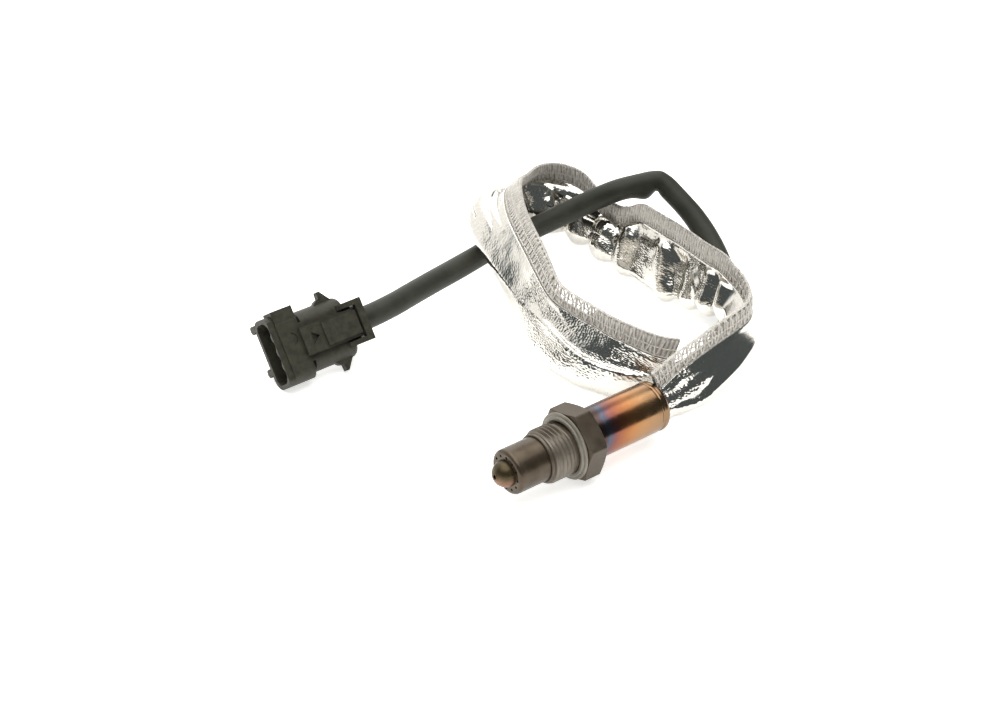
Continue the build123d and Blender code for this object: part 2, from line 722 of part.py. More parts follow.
def make_bridge(body_top):
    """Guard bar over the latch's free end, on two side arms."""
    arm_front = 26.0
    rear = BRIDGE_START + BRIDGE_LENGTH
    bar_z = body_top + BRIDGE_RISE
    bar = Pos(-rear, 0, bar_z - BRIDGE_THICKNESS) * Box(
        BRIDGE_LENGTH, BRIDGE_WIDTH, BRIDGE_THICKNESS, align=(Align.MIN, Align.CENTER, Align.MIN)
    )
    arms = None
    for side in (1, -1):
        profile = Polygon(
            (-arm_front, body_top - 2.5),
            (-arm_front, body_top + 0.4),
            (-BRIDGE_START + 1.0, bar_z),
            (-rear, bar_z),
            (-rear, body_top - 1.0),
            (-BODY_REAR - 0.5, body_top - 2.5),
            align=None,
        )
        arm = Plane.XZ * profile
        arm = Pos(0, side * (BRIDGE_WIDTH / 2 - 0.9) + 0.9, 0) * extrude(arm, amount=1.8)
        dimple = Pos(-29.0, side * (BRIDGE_WIDTH / 2), body_top + 0.9) * Rot(90, 0, 0) * Cylinder(0.9, 0.8)
        arms = arm - dimple if arms is None else arms + (arm - dimple)
    return bar + arms


def make_barb(side):
    """Small hooked barb on each flank, for the bracket that the plug snaps into."""
    root = BODY_WIDTH / 2 - 0.8
    outline = Polygon(
        (-18.2, root),
        (-20.0, root + 1.6),
        (-21.4, root + 2.0),
        (-21.6, BARB_REACH),
        (-22.6, BARB_REACH),
        (-26.0, root),
        align=None,
    )
    barb = Pos(-BARB_SHIFT, 0, -0.2) * extrude(outline, amount=2.4)
    return barb if side > 0 else mirror(barb, about=Plane.XZ)


def make_terminal(index):
    """Flat blade with a square box that fills its passage, and a barrel round its wire."""
    y = way_y(index)
    box_front = CAVITY_DEPTH + 1.0
    blade = block(-box_front - 0.5, -BLADE_TIP, BLADE_WIDTH, BLADE_THICKNESS, y)
    tip = BLADE_THICKNESS / 2
    blade = chamfer(blade.faces().sort_by(Axis.X)[-1].edges(), tip * 0.6)
    box = block(-TERMINAL_REAR, -box_front, TERMINAL_BOX, TERMINAL_BOX, y)
    box -= rod(-TERMINAL_REAR - 1, -TERMINAL_REAR + 3.0, LEAD_R + LEAD_FIT / 2, y)
    return blade + box


def make_secondary_lock():
    """Comb plate at the bottom of the mouth, slotted over the four blades."""
    plate = rounded_bar(CAVITY_DEPTH - 1.4, CAVITY_DEPTH - 0.05, 20.6, 7.0, 2.0)
    for index in range(WAYS):
        slot_y, slot_z = BLADE_WIDTH + 0.2, BLADE_THICKNESS + 0.2
        plate -= block(-CAVITY_DEPTH - 1, 0, slot_y, slot_z, way_y(index))
    return plate


def plug_lead_end(index):
    """Where a lead meets the sheath's cut end: two inner leads up, two outer leads down."""
    half = LEAD_PITCH / 2
    y = -half if index < WAYS / 2 else half
    return y, (half if index in (1, 2) else -half)


def make_plug_lead(index):
    y_end, z_end = plug_lead_end(index)
    y = way_y(index)
    start = -TERMINAL_REAR + 2.8
    points = [
        (start, y, 0),
        (-CHAMBER_FRONT - 0.6, y, 0),
        (-CHAMBER_REAR + 0.9, y_end, z_end),
        (-CABLE_END, y_end, z_end),
    ]
    path = FilletPolyline(*points, radius=LEAD_R)
    section = Plane(origin=path @ 0, z_dir=path % 0) * Circle(LEAD_R)
    return sweep(section, path=path)


def make_cable_gland():
    """Rubber gland on the housing's rear face, round the leads and the end of the sheath."""
    gland = rod(-GLAND_REAR, -CORE_REAR, GLAND_R)
    gland = chamfer(gland.faces().sort_by(Axis.X)[0].edges(), 0.5)
    gland -= rod(-GLAND_REAR - 1, -CABLE_END, CABLE_R + GLAND_FIT)
    return gland - rod(-CABLE_END - 1, -CORE_REAR + 1, LEAD_EXIT_R)


def make_plug():
    nodes = {"connector_housing": make_connector_housing(), "secondary_lock": make_secondary_lock()}
    nodes["cable_gland"] = make_cable_gland()
    for index in range(WAYS):
        nodes[f"terminal_{index + 1}"] = make_terminal(index)
        nodes[f"plug_lead_{index + 1}"] = make_plug_lead(index)
    return {name: plug_place(shape) for name, shape in nodes.items()}


# --------------------------------------------------------------------------- assembly
def make_all():
    nodes = {
        "hex_shell": make_hex_shell(),
        "seal_ring": make_seal_ring(),
        "outer_protection_tube": make_outer_tube(),
        "inner_protection_tube": make_inner_tube(),
        "sensing_element": make_sensing_element(),
        **make_stack(),
        **make_contact_holders(),
        "clamp_ring": make_clamp_ring(),
        "rear_sleeve": make_rear_sleeve(),
        "grommet": make_grommet(),
        "cable_sheath": make_cable(),
        "heat_sleeve": make_heat_sleeve(),
        "sleeve_stitching": make_stitching(),
        **make_plug(),
    }
    for index in range(WAYS):
        nodes[f"contact_spring_{index + 1}"] = make_contact(index)
        nodes[f"sensor_lead_{index + 1}"] = make_sensor_lead(index)
    return nodes


os.makedirs("parts", exist_ok=True)
for node, shape in make_all().items():
    shape.label = node
    export_step(shape, f"parts/{node}.step")
print("cable length", round(CABLE_PATH.length, 1), "radii", [round(r, 1) for r in RADII])
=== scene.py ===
"""Looks of a heated oxygen sensor with its lead, heat-protection sleeve and four-way plug.

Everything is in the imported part's frame, in metres: the origin is on the sensor's axis at the seal
ring's front face, +X runs towards the tip and +Z is up. Lengths in the code are in millimetres and
are turned into metres where a mesh is made.
"""

import json

from math import cos, pi, radians, sin, tan

import bpy
import numpy as np
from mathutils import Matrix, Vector, noise


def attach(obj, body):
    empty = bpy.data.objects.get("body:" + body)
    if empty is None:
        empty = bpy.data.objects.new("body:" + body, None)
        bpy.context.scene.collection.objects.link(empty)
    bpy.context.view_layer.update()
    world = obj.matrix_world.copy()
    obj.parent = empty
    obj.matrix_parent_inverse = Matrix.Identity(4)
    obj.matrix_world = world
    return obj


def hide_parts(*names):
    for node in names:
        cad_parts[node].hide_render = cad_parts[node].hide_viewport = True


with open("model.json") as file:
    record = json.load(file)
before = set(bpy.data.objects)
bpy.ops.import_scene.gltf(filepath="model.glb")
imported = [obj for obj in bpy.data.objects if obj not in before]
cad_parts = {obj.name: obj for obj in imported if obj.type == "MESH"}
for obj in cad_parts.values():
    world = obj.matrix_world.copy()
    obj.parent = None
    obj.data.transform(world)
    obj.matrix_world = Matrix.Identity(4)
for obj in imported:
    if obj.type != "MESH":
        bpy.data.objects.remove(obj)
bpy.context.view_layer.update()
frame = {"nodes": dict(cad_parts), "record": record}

MM = 0.001
scene = bpy.context.scene

# --------------------------------------------------------------------------- sizes, in millimetres
HEX_ACROSS_FLATS = 22.0
HEX_CORNER_R = HEX_ACROSS_FLATS / 2 / cos(radians(30))
HEX_ROLL = 15.0  # degrees about the sensor's axis
HEX_FRONT_X = -1.8
HEX_REAR_X = -8.8
SPIGOT_END_X = -13.3  # the part of the shell that goes into the rear tube
SPIGOT_R = 7.6
NECK_END_X = 0.9  # end of the undercut that holds the seal ring
NECK_R = 8.1
NOSE_END_X = 10.1
THREAD_MAJOR_R = 8.95
THREAD_PITCH = 1.5
THREAD_DEPTH = 0.88
PASTE_DEPTH = 0.30  # left of the thread where anti-seize paste fills it
PASTE_ON_NECK = 0.75
BARE_SIDE = 150  # degrees about the axis to the middle of the side without paste
REAR_TUBE_END_X = -38.6
FLOOR_Z = -HEX_CORNER_R * sin(radians(60 + HEX_ROLL))
CABLE_R = 4.1
CABLE_ON_FLOOR = FLOOR_Z + CABLE_R
PLUG_Z = FLOOR_Z + 11.6
CABLE_LENGTH = 579.4

# The cable's route from the sensor to the plug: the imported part's points, with three of them moved
# by up to 1.7 mm and two more by the fold.
ROUTE = [
    (-39.1, 0, 0),
    (-51, 0, 0),
    (-63, -3.6, -0.4),
    (-76, -7.0, -1.8),
    (-88, -11.2, -0.8),
    (-97.5, -19.5, 2.0),
    (-102.4, -31.5, 3.4),
    (-104, -45, 0.0),
    (-104.6, -60, -5.0),
    (-105, -76, -5.6),
    (-106, -92, -5.8),
    (-105.4, -103, -5.8),
    (-102.4, -112.5, -4.6),
    (-97.6, -120.6, -2),
    (-89.2, -125.0, 2.4),
    (-79.2, -125.6, 6.8),
    (-69.8, -121.4, 9.0),
    (-61.8, -113.2, 9.4),
    (-55.8, -102.6, 8.4),
    (-52.8, -91.0, 4.8),
    (-51.4, -79.5, -0.6),
    (-48.8, -68, -4.8),
    (-44.9, -56.5, -5.9),
    (-42.4, -44.8, -5.9),
    (-43, -33.6, -5.9),
    (-46.9, -24.6, -5.9),
    (-54.2, -18.2, -5.9),
    (-64.6, -15.6, -7.0),
    (-77, -17.4, CABLE_ON_FLOOR),
    (-89.5, -22.6, CABLE_ON_FLOOR),
    (-101, -30.2, CABLE_ON_FLOOR),
    (-109.5, -38, CABLE_ON_FLOOR),
    (-118, -50, -7.6),
    (-122.8, -61.9, -1.2),
    (-123.8, -74.9, 6.8),
    (-122.0, -83.4, 12.4),
    (-120.2, -90.4, 16.3),
    (-113.2, -94.5, 14.8),
    (-104.5, -99.5, 12.8),
    (-91, -109, 4.2),
    (-79, -115.2, -1.6),
    (-66, -115.8, -2.6),
    (-46, -111.6, -2.6),
    (-24, -106.4, -1.4),
    (-2.8, -101, PLUG_Z),
    (9.2, -101, PLUG_Z),
]
FOLD = (-120.2, -90.4, 16.3)  # the sharp fold at the top of the cable's loop
# How the jacket buckles at the fold: distance past it, reach along the cable, how far it stands
# out, which side of the bend (-1 under it, 1 over it) and how closely it keeps to that side.
BUCKLING = (
    (6.0, 3.4, 1.9, -1, 1.5),
    (-0.5, 2.4, -1.0, -1, 1),
    (0.0, 1.4, 0.5, 1, 3),
    (-11.0, 8.0, -0.45, 1, 1),
)

# Heat sleeve: distance along it, height of the stitched edge over the sensor's axis when it stands
# upright, how far its foot leans to the left of the direction of travel, degrees that the stitched
# edge is tipped to the left about its foot, and how far its top is raked ahead.
TOP_EDGE = np.array(
    [
        (0, 12.2, 0.0, 0, -2.4),
        (11, 14.2, 2.4, 0, -1.0),
        (34, 14.7, 0.8, 0, 0),
        (52, 15.2, -1.9, 0, 0),
        (71, 17.7, 3.0, 0, 0),
        (80, 17.5, 2.2, 0, 0),
        (90, 15.7, 1.3, 0, 0),
        (108, 15.7, 0.3, 0, 0),
        (131, 13.7, -1.6, 0, 0),
        (139, 7.0, -1.2, 0, 0),
        (151, 7.0, -1.2, 0, 0),
        (158, 13.7, -3.6, 0, 0),
        (170, 16.4, -5.5, 8, 0),
        (186, 20.4, 2.5, 34, 0),
        (203, 24.3, 3.8, 44, 0),
        (212, 24.8, 4.0, 44, 0),
        (224, 23.8, 3.6, 40, 0),
        (238, 20.5, 2.2, 36, 0),
        (251, 18.7, -0.4, 34, 0),
        (263, 16.7, -1.5, 24, 0),
        (273, 15.7, -1.1, 10, 0),
        (282, 15.2, 2.3, 0, 0),
        (293, 15.2, 3.3, 0, 0),
        (307, 15.2, -0.6, 0, 0.8),
        (318, 12.9, -9.0, 0, 2.6),
    ]
)
# Distance along the sleeve, half width of the section's foot, its level over the cable's centre,
# how far the walls above it bow outwards, how much wider and how much lower the foot is on the
# inside of the loop, and how far the belly under it bulges on the outside.
SECTION = np.array(
    [
        (0, 5.6, 0.0, 0.3, 0, 0, 0),
        (14, 7.0, -2.0, 0.0, 0, 0, 0),
        (28, 7.1, -0.4, -0.1, 0, 0, 0),
        (42, 6.2, 1.6, -0.2, 0, 0, 0),
        (54, 5.2, 2.4, -0.1, 0.6, 0, 0),
        (66, 5.4, 1.4, 0.0, 1.2, 0.3, 0),
        (78, 6.6, -2.6, 0.2, 2.0, 1.0, 0),
        (92, 7.2, -3.4, 0.0, 2.8, 2.6, 0),
        (112, 7.2, -3.3, 0.0, 2.6, 2.2, 0),
        (130, 7.2, -3.0, 0.0, 1.6, 0.6, 0),
        (145, 6.4, -1.0, 0.4, 0.6, 0, 0),
        (170, 6.4, -1.0, 0.4, 0, 0, 0),
        (205, 7.4, -2.0, 0.5, 0, 0, 0),
        (236, 7.0, 1.2, 0.2, 0, 0, 0.3),
        (256, 7.2, 4.4, -0.9, 0, 0, 1.0),
        (268, 6.0, 6.2, -0.7, 0, 0, 3.6),
        (280, 5.8, 6.4, -0.6, 0, 0, 4.2),
        (292, 6.6, 5.2, -0.8, 0, 0, 2.6),
        (304, 7.2, 4.3, -1.0, 0, 0, 0.4),
        (318, 7.4, 4.0, -1.0, 0, 0, 0),
    ]
)
# Distance along the sleeve and height of the sharp ridge along its foot on the outside of the loop.
RIDGE = np.array([(262, 0), (274, 1.0), (306, 1.0), (314, 0.3)])
RIDGE_LEVEL = 1.2  # of its middle round the cloth from the foot
RIDGE_WIDTH = 1.0
# Cross creases on the inside of the loop: distance along the sleeve, half width and depth.
PINCHES = (
    (76, 2.6, 1.9),
    (101, 3.0, 2.2),
    (137, 3.2, 2.4),
    (152, 2.6, 1.6),
    (166, 2.8, 1.6),
    (184, 3.0, 1.5),
)
CREASE_SLANT = 0.3  # of the creases: millimetres along the sleeve for each millimetre up
# Places where the cloth stands away from the cable on the outside of the loop: distance along the
# sleeve, reach along it, height over the cable's centre, reach in height and how far it stands out.
POCKETS = ((206, 15, 0.5, 5.0, 4.4), (262, 18, -4.0, 3.0, 2.2))
# Distance along the sleeve and how open the stitching is there: 0 is dense tape, 1 an open ladder.
OPENNESS = np.array(
    [
        (0, 0.5),
        (8, 0.55),
        (14, 1),
        (26, 1),
        (36, 0.5),
        (66, 0.45),
        (78, 0.05),
        (128, 0),
        (160, 0.1),
        (232, 0.1),
        (242, 0.45),
        (264, 0.4),
        (270, 0.9),
        (286, 0.9),
        (293, 0.4),
        (318, 0.35),
    ]
)
# Distance along the sleeve, depth of its cross folds and of its large, medium and small facets, and
# how strongly the weave shows through the film.
CRUMPLING = np.array(
    [
        (0, 0.6, 0.6, 0.50, 0.18, 0.9),
        (12, 0.4, 0.4, 0.40, 0.16, 0.9),
        (17, 0.4, 0.3, 0.20, 0.08, 0.5),
        (20, 0.3, 0.12, 0.05, 0.02, 0.12),
        (30, 0.3, 0.12, 0.03, 0.01, 0.05),
        (64, 0.3, 0.12, 0.03, 0.01, 0.05),
        (84, 2.0, 0.8, 0.20, 0.05, 0.4),
        (165, 2.4, 0.9, 0.22, 0.05, 0.3),
        (188, 0.8, 0.4, 0.14, 0.05, 0.32),
        (206, 0.3, 0.2, 0.08, 0.03, 0.2),
        (246, 0.3, 0.2, 0.08, 0.03, 0.28),
        (258, 0.5, 0.3, 0.10, 0.05, 0.75),
        (318, 0.5, 0.25, 0.10, 0.05, 0.75),
    ]
)
DEEPEST_PUSH = 2.5  # that crumpling may push the cloth in
HIGHEST_PUSH = 2.8  # and out
HELD_COLUMNS = 6  # next to the stitching, which keeps the cloth in place there
MOUTH_LENGTH = 6.0  # of the gathered start of the sleeve
MOUTH_CRUMPLING = 0.3  # share of the crumpling that is left at its edge
SLEEVE_START = 0.1  # distance along the cable
SLEEVE_LENGTH = 318.0
SLEEVE_R = 6.1  # depth of the section under the cable's centre
FOOT_ROUNDNESS = 0.8  # of the section under the cable: 1 is an ellipse, less is squarer
CABLE_ROOM = 0.75  # kept between the cable and the cloth
WALLS_MEET = 4.2  # height over the cable's centre, from where the walls only keep off each other
WALL_ROOM = 1.1  # kept there from the plane between them
CLOTH_THICKNESS = 0.5
LOWEST_CLOTH_Z = FLOOR_Z + 0.56  # of the cloth's inner face; its thickness goes outwards
SEAM_HEIGHT = 7.0
SEAM_HALF = 0.85  # half the stitched band's thickness
BAND_HALF = SEAM_HALF + 0.12  # out to the middle of its threads
TIGHT_PITCH = 2.7  # between two stitches where they are dense
PITCH_GROWTH = 6.1  # added to it where the stitching is open
NEEDLE_ROWS = (0.5, 3.4)  # heights of the straight lines of stitches over the band's foot
NEEDLE_STITCH = 2.3
CHAIN_STITCH = 2.1
OVERLOCK_R = 0.28
NEEDLE_R = 0.22
CHAIN_R = 0.24
THREAD_SIDES = 6
SLEEVE_ROWS = 570
TABLE_SMOOTHING = 17  # rows of the running mean over the sleeve's tables
DIRECTION_SMOOTHING = 9  # rows of the running mean over its direction
WALL_COLUMNS = 28
ARC_COLUMNS = 29
SEAM_COLUMNS = 9


# --------------------------------------------------------------------------- mesh helpers
def link(name, data):
    """An object in the scene; the stage argument that mesh_piece takes is not used."""
    obj = bpy.data.objects.new(name, data)
    scene.collection.objects.link(obj)
    return obj


def mesh_piece(name, points, faces, stage=False):
    """A mesh object from points in millimetres, smooth shaded."""
    corners = [tuple(int(i) for i in face) for face in faces]
    mesh = bpy.data.meshes.new(name)
    mesh.from_pydata((np.asarray(points) * MM).tolist(), [], corners)
    mesh.shade_smooth()
    mesh.update()
    return link(name, mesh)


def grid_faces(rows, columns, wrap=False):
    """Quads between neighbouring rows of points, joined round when wrap is set."""
    across = columns if wrap else columns - 1
    i, j = np.meshgrid(np.arange(rows - 1), np.arange(across), indexing="ij")
    here, beyond, k = i * columns, (i + 1) * columns, (j + 1) % columns
    quads = np.stack([here + j, here + k, beyond + k, beyond + j], -1)
    return quads.reshape(-1, 4).tolist()


def unit(vectors):
    return vectors / np.linalg.norm(vectors, axis=-1, keepdims=True)


def smoothed(values, width):
    """Running mean along the first axis, with the ends held."""
    pad = width // 2
    padded = np.concatenate([np.repeat(values[:1], pad, 0), values, np.repeat(values[-1:], pad, 0)])
    kernel = np.ones(width) / width
    if values.ndim == 1:
        return np.convolve(padded, kernel, "valid")[: len(values)]
    return np.stack([np.convolve(column, kernel, "valid")[: len(values)] for column in padded.T], 1)


def step(values, low, high):
    """Rises smoothly from 0 at low to 1 at high."""
    t = np.clip((values - low) / (high - low), 0, 1)
    return t * t * (3 - 2 * t)


def bump_at(values, centre, width):
    """A bell of height 1 round the centre."""
    return np.exp(-(((values - centre) / width) ** 2))


def columns_at(table, along):
    """Every column of a table but the first, read at distances along the first."""
    return [np.interp(along, table[:, 0], table[:, c]) for c in range(1, table.shape[1])]


def noise_line(places):
    """Smooth noise at each of a row of places."""
    return np.array([noise.noise(Vector(place)) for place in places])


# --------------------------------------------------------------------------- camera
def make_camera():
    data = bpy.data.cameras.new("camera")
    data.lens = 75.89
    data.sensor_width = 36
    data.clip_start = 0.01
    obj = link("camera", data)
    obj.location = (0.3448, 0.4100, 0.3812)
    target = Vector((-0.01666, -0.05256, 0))
    obj.rotation_euler = (target - obj.location).to_track_quat("-Z", "Y").to_euler()
    scene.camera = obj


# --------------------------------------------------------------------------- the cable's line
def route_line():
    """Points of the route's NURBS spline, in millimetres."""
    data = bpy.data.curves.new("route", "CURVE")
    data.dimensions = "3D"
    data.resolution_u = 24
    spline = data.splines.new("NURBS")
    spline.points.add(len(ROUTE) - 1)
    for point, place in zip(spline.points, ROUTE):
        point.co = (*(c * MM for c in place), 1)
    spline.order_u = 3
    spline.use_endpoint_u = True
    obj = bpy.data.objects.new("route", data)
    mesh = bpy.data.meshes.new_from_object(obj)
    line = np.array([v.co for v in mesh.vertices]) / MM
    bpy.data.objects.remove(obj)
    bpy.data.meshes.remove(mesh)
    return line


class Path:
    """A line that can be asked for its point and direction at a distance from its start."""

    def __init__(self, line):
        self.line = line
        steps = np.linalg.norm(np.diff(line, axis=0), axis=1)
        self.at = np.concatenate([[0], np.cumsum(steps)])
        self.length = self.at[-1]

    def point(self, distance):
        return np.stack([np.interp(distance, self.at, self.line[:, c]) for c in range(3)], -1)

    def ahead(self, distance, span=2.0):
        low = np.clip(distance - span, 0, self.length)
        high = np.clip(distance + span, 0, self.length)
        return unit(self.point(high) - self.point(low))

    def nearest(self, place):
        return self.at[np.argmin(np.linalg.norm(self.line - np.array(place), axis=1))]


def level_frame(ahead):
    """Left of the direction of travel, and the upward normal, for each direction."""
    left = unit(np.stack([-ahead[:, 1], ahead[:, 0], np.zeros(len(ahead))], 1))
    return left, np.cross(ahead, left)


def tube(points, left, up, radii, columns):
    """Points of a tube's wall: radii has one value for each point and angle."""
    angles = np.linspace(0, 2 * pi, columns, endpoint=False)
    ring = left[:, None] * np.cos(angles)[:, None] + up[:, None] * np.sin(angles)[:, None]
    return points[:, None] + ring * radii[..., None]


def capped(wall):
    """Points and faces of a tube from its wall's points, closed flat at both ends."""
    rows, columns = wall.shape[:2]
    points = wall.reshape(-1, 3).tolist()
    faces = grid_faces(rows, columns, wrap=True)
    for row in (0, rows - 1):
        ring = [row * columns + c for c in range(columns)]
        faces.append(ring[::-1] if row == 0 else ring)
    return points, faces


# --------------------------------------------------------------------------- cable
def make_cable(path):
    """The round cable, buckled at its fold."""
    columns, row_step = 40, 0.7
    wave_depth, wave_length, wave_turn = 0.14, 22, 0.7
    count = int(path.length / row_step)
    at = np.linspace(0, path.length, count)
    left, up = level_frame(path.ahead(at))
    angles = np.linspace(0, 2 * pi, columns, endpoint=False)[None]
    away = at[:, None] - path.nearest(FOLD)
    radii = np.full((count, columns), CABLE_R)
    for past, reach, out, side, closeness in BUCKLING:
        share = np.clip(side * np.sin(angles), 0, 1) ** closeness
        radii += out * bump_at(away, past, reach) * share
    # a slight waviness of the jacket, worked out on every fourth row and blended between
    around = [(sin(g) * wave_turn, cos(g) * wave_turn) for g in angles[0]]
    rings = [[(a / wave_length, *place) for place in around] for a in at[::4]]
    waviness = np.array([noise_line(ring) for ring in rings])
    rows = np.linspace(0, len(waviness) - 1, count)
    low = np.floor(rows).astype(int)
    high = np.minimum(low + 1, len(waviness) - 1)
    blend = (rows - low)[:, None]
    radii += wave_depth * (waviness[low] * (1 - blend) + waviness[high] * blend)
    cable = mesh_piece("cable", *capped(tube(path.point(at), left, up, radii, columns)))
    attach(cable, "root")
    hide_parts("cable_sheath")
    return cable


# --------------------------------------------------------------------------- heat sleeve
class Sleeve:
    """The folded strip of cloth round the cable: its sections and its stitched band."""

    def __init__(self, path):
        self.along = np.linspace(0, SLEEVE_LENGTH, SLEEVE_ROWS)
        self.at = (SLEEVE_START + self.along) * path.length / CABLE_LENGTH
        self.centre = path.point(self.at)
        height, self.lean, tip, self.rake = self.smooth_columns(TOP_EDGE)
        section = self.smooth_columns(SECTION)
        self.foot_half, self.foot_level, self.bow, self.inward, self.sag, self.belly = section
        self.tip = np.radians(tip)
        self.neck = height - self.centre[:, 2] - SEAM_HEIGHT
        ahead = smoothed(path.ahead(self.at), DIRECTION_SMOOTHING)
        flat = np.zeros(SLEEVE_ROWS)
        self.level = unit(np.stack([ahead[:, 0], ahead[:, 1], flat], 1))
        self.left = np.stack([-self.level[:, 1], self.level[:, 0], flat], 1)

    def smooth_columns(self, table):
        return [smoothed(column, TABLE_SMOOTHING) for column in columns_at(table, self.along)]

    def place(self, x, y):
        """Points of every section from their level and upright coordinates."""
        up = np.array([0, 0, 1.0])
        return self.centre[:, None] + self.left[:, None] * x[..., None] + up * y[..., None]

    def band(self, across, over_foot):
        """Places in the stitched band, which is tipped and raked about its foot."""
        values = (self.lean, self.neck, np.cos(self.tip), np.sin(self.tip))
        lean, neck, c, s = (value[:, None] for value in values)
        places = self.place(lean + across * c + over_foot * s, neck - across * s + over_foot * c)
        ahead = self.rake[:, None] * over_foot / SEAM_HEIGHT
        return places + self.level[:, None] * ahead[..., None]

    def outline(self, row):
        """A section of the cloth, from one side of the seam's foot round the cable to the other."""
        lean, neck = self.lean[row], self.neck[row]
        half, level = self.foot_half[row], self.foot_level[row]
        drop = -SLEEVE_R - level
        arc = np.linspace(0, -pi, ARC_COLUMNS)
        inside = np.cos(arc) > 0
        reach = np.sign(np.cos(arc)) * abs(np.cos(arc)) ** FOOT_ROUNDNESS
        reach *= half + self.inward[row] * inside
        reach -= self.belly[row] * ~inside * abs(np.sin(2 * arc))
        height = level - drop * np.sin(arc) - self.sag[row] * inside * np.sin(2 * arc) ** 2
        bottom = np.stack([reach, height], 1)
        t = np.linspace(0, 1, WALL_COLUMNS, endpoint=False)[:, None]
        walls = []
        for side, foot in ((1, bottom[0]), (-1, bottom[-1])):
            shoulder = np.array([lean + side * SEAM_HALF, neck])
            bow = (shoulder + foot) / 2 + self.bow[row] * np.array([side, 1])
            wall = (1 - t) ** 2 * shoulder + 2 * t * (1 - t) * bow + t**2 * foot
            away = np.linalg.norm(wall, axis=1, keepdims=True)
            walls.append(wall * np.maximum(1, (CABLE_R + CABLE_ROOM) / away))
        return np.concatenate([walls[0], bottom, walls[1][::-1]])


def facets(u, v, size, seed):
    """Heights from -1 to 1 of flat triangles that meet in sharp creases, as in crumpled foil."""
    count = 97  # corners each way before the pattern repeats
    heights = np.random.default_rng(seed).uniform(-1, 1, (count, count))
    u, v = u / size, v / size * 1.1547  # 2 / sqrt(3), so that the triangles' sides are equal
    u = u - v / 2
    i, j = np.floor(u).astype(int), np.floor(v).astype(int)
    a, b = u - i, v - j
    near = a + b < 1
    i, next_i, j, next_j = i % count, (i + 1) % count, j % count, (j + 1) % count
    corner = np.where(near, heights[i, j], heights[next_i, next_j])
    a, b = np.where(near, a, 1 - a), np.where(near, b, 1 - b)
    along = np.where(near, heights[next_i, j], heights[i, next_j])
    across = np.where(near, heights[i, next_j], heights[next_i, j])
    return corner * (1 - a - b) + along * a + across * b


def crumple(sleeve, around, depths):
    """How far crumpling pushes the cloth out: cross folds, and facets of three sizes."""
    u = np.repeat(sleeve.at[:, None], around.shape[1], 1)
    v = around
    warp_u = 2.2 * np.sin(v / 5.3 + u / 17) + 1.3 * np.sin(v / 2.9 - u / 9)
    warp_v = 1.8 * np.sin(u / 6.1) + 1.1 * np.sin(u / 3.7 + v / 8)
    folds = facets(u + warp_u, v * 0.45 + warp_v, size=13.0, seed=3)
    large = facets(u + warp_u * 0.6, v + warp_v, size=8.0, seed=11)
    medium = facets(u - warp_u * 0.3, v + warp_v * 0.5, size=4.1, seed=23)
    small = facets(u + v * 0.2, v - warp_v * 0.2, size=2.2, seed=31)
    layers = (folds, large, medium, small)
    return sum(depth[:, None] * layer for depth, layer in zip(depths, layers))


def cloth_push(sleeve, outlines, around, depths):
    """How far each point of the cloth stands out of its section."""
    columns = outlines.shape[1]
    x, y = outlines[..., 0], outlines[..., 1]
    outside = x < 0
    column = np.arange(columns)
    free = step(np.minimum(column, columns - 1 - column), 0, HELD_COLUMNS)
    mouth = step(sleeve.at - sleeve.at[0], 0, MOUTH_LENGTH)
    mouth = MOUTH_CRUMPLING + (1 - MOUTH_CRUMPLING) * mouth
    push = crumple(sleeve, around, depths) * mouth[:, None]
    for along, width, depth in PINCHES:
        from_crease = np.abs(sleeve.along[:, None] - along - CREASE_SLANT * y)
        ridges = bump_at(from_crease, 2.2 * width, 1.3 * width)
        push += ~outside * depth * (0.8 * ridges - np.exp(-from_crease / width))
    over_cable = np.hypot(x, y) - CABLE_R - CABLE_ROOM
    room = np.where(y > WALLS_MEET, np.abs(x) - WALL_ROOM, over_cable)
    push = np.clip(push, -np.clip(room, 0, DEEPEST_PUSH), HIGHEST_PUSH) * free[None]
    for along, reach, level, rise, out in POCKETS:
        shape = bump_at(sleeve.along, along, reach)[:, None] * bump_at(y, level, rise)
        push += out * shape * outside * free[None]
    outer_foot = WALL_COLUMNS + ARC_COLUMNS - 1
    from_foot = around - around[:, outer_foot : outer_foot + 1]
    (ridge,) = columns_at(RIDGE, sleeve.along)
    return push + ridge[:, None] * bump_at(from_foot, RIDGE_LEVEL, RIDGE_WIDTH)


def add_weave(piece, u, v, w):
    """Coordinates along and across the cloth for its material, and how strongly the weave shows."""
    weave = piece.data.attributes.new("weave", "FLOAT_VECTOR", "POINT")
    weave.data.foreach_set("vector", np.stack(np.broadcast_arrays(u, v, w), -1).ravel())


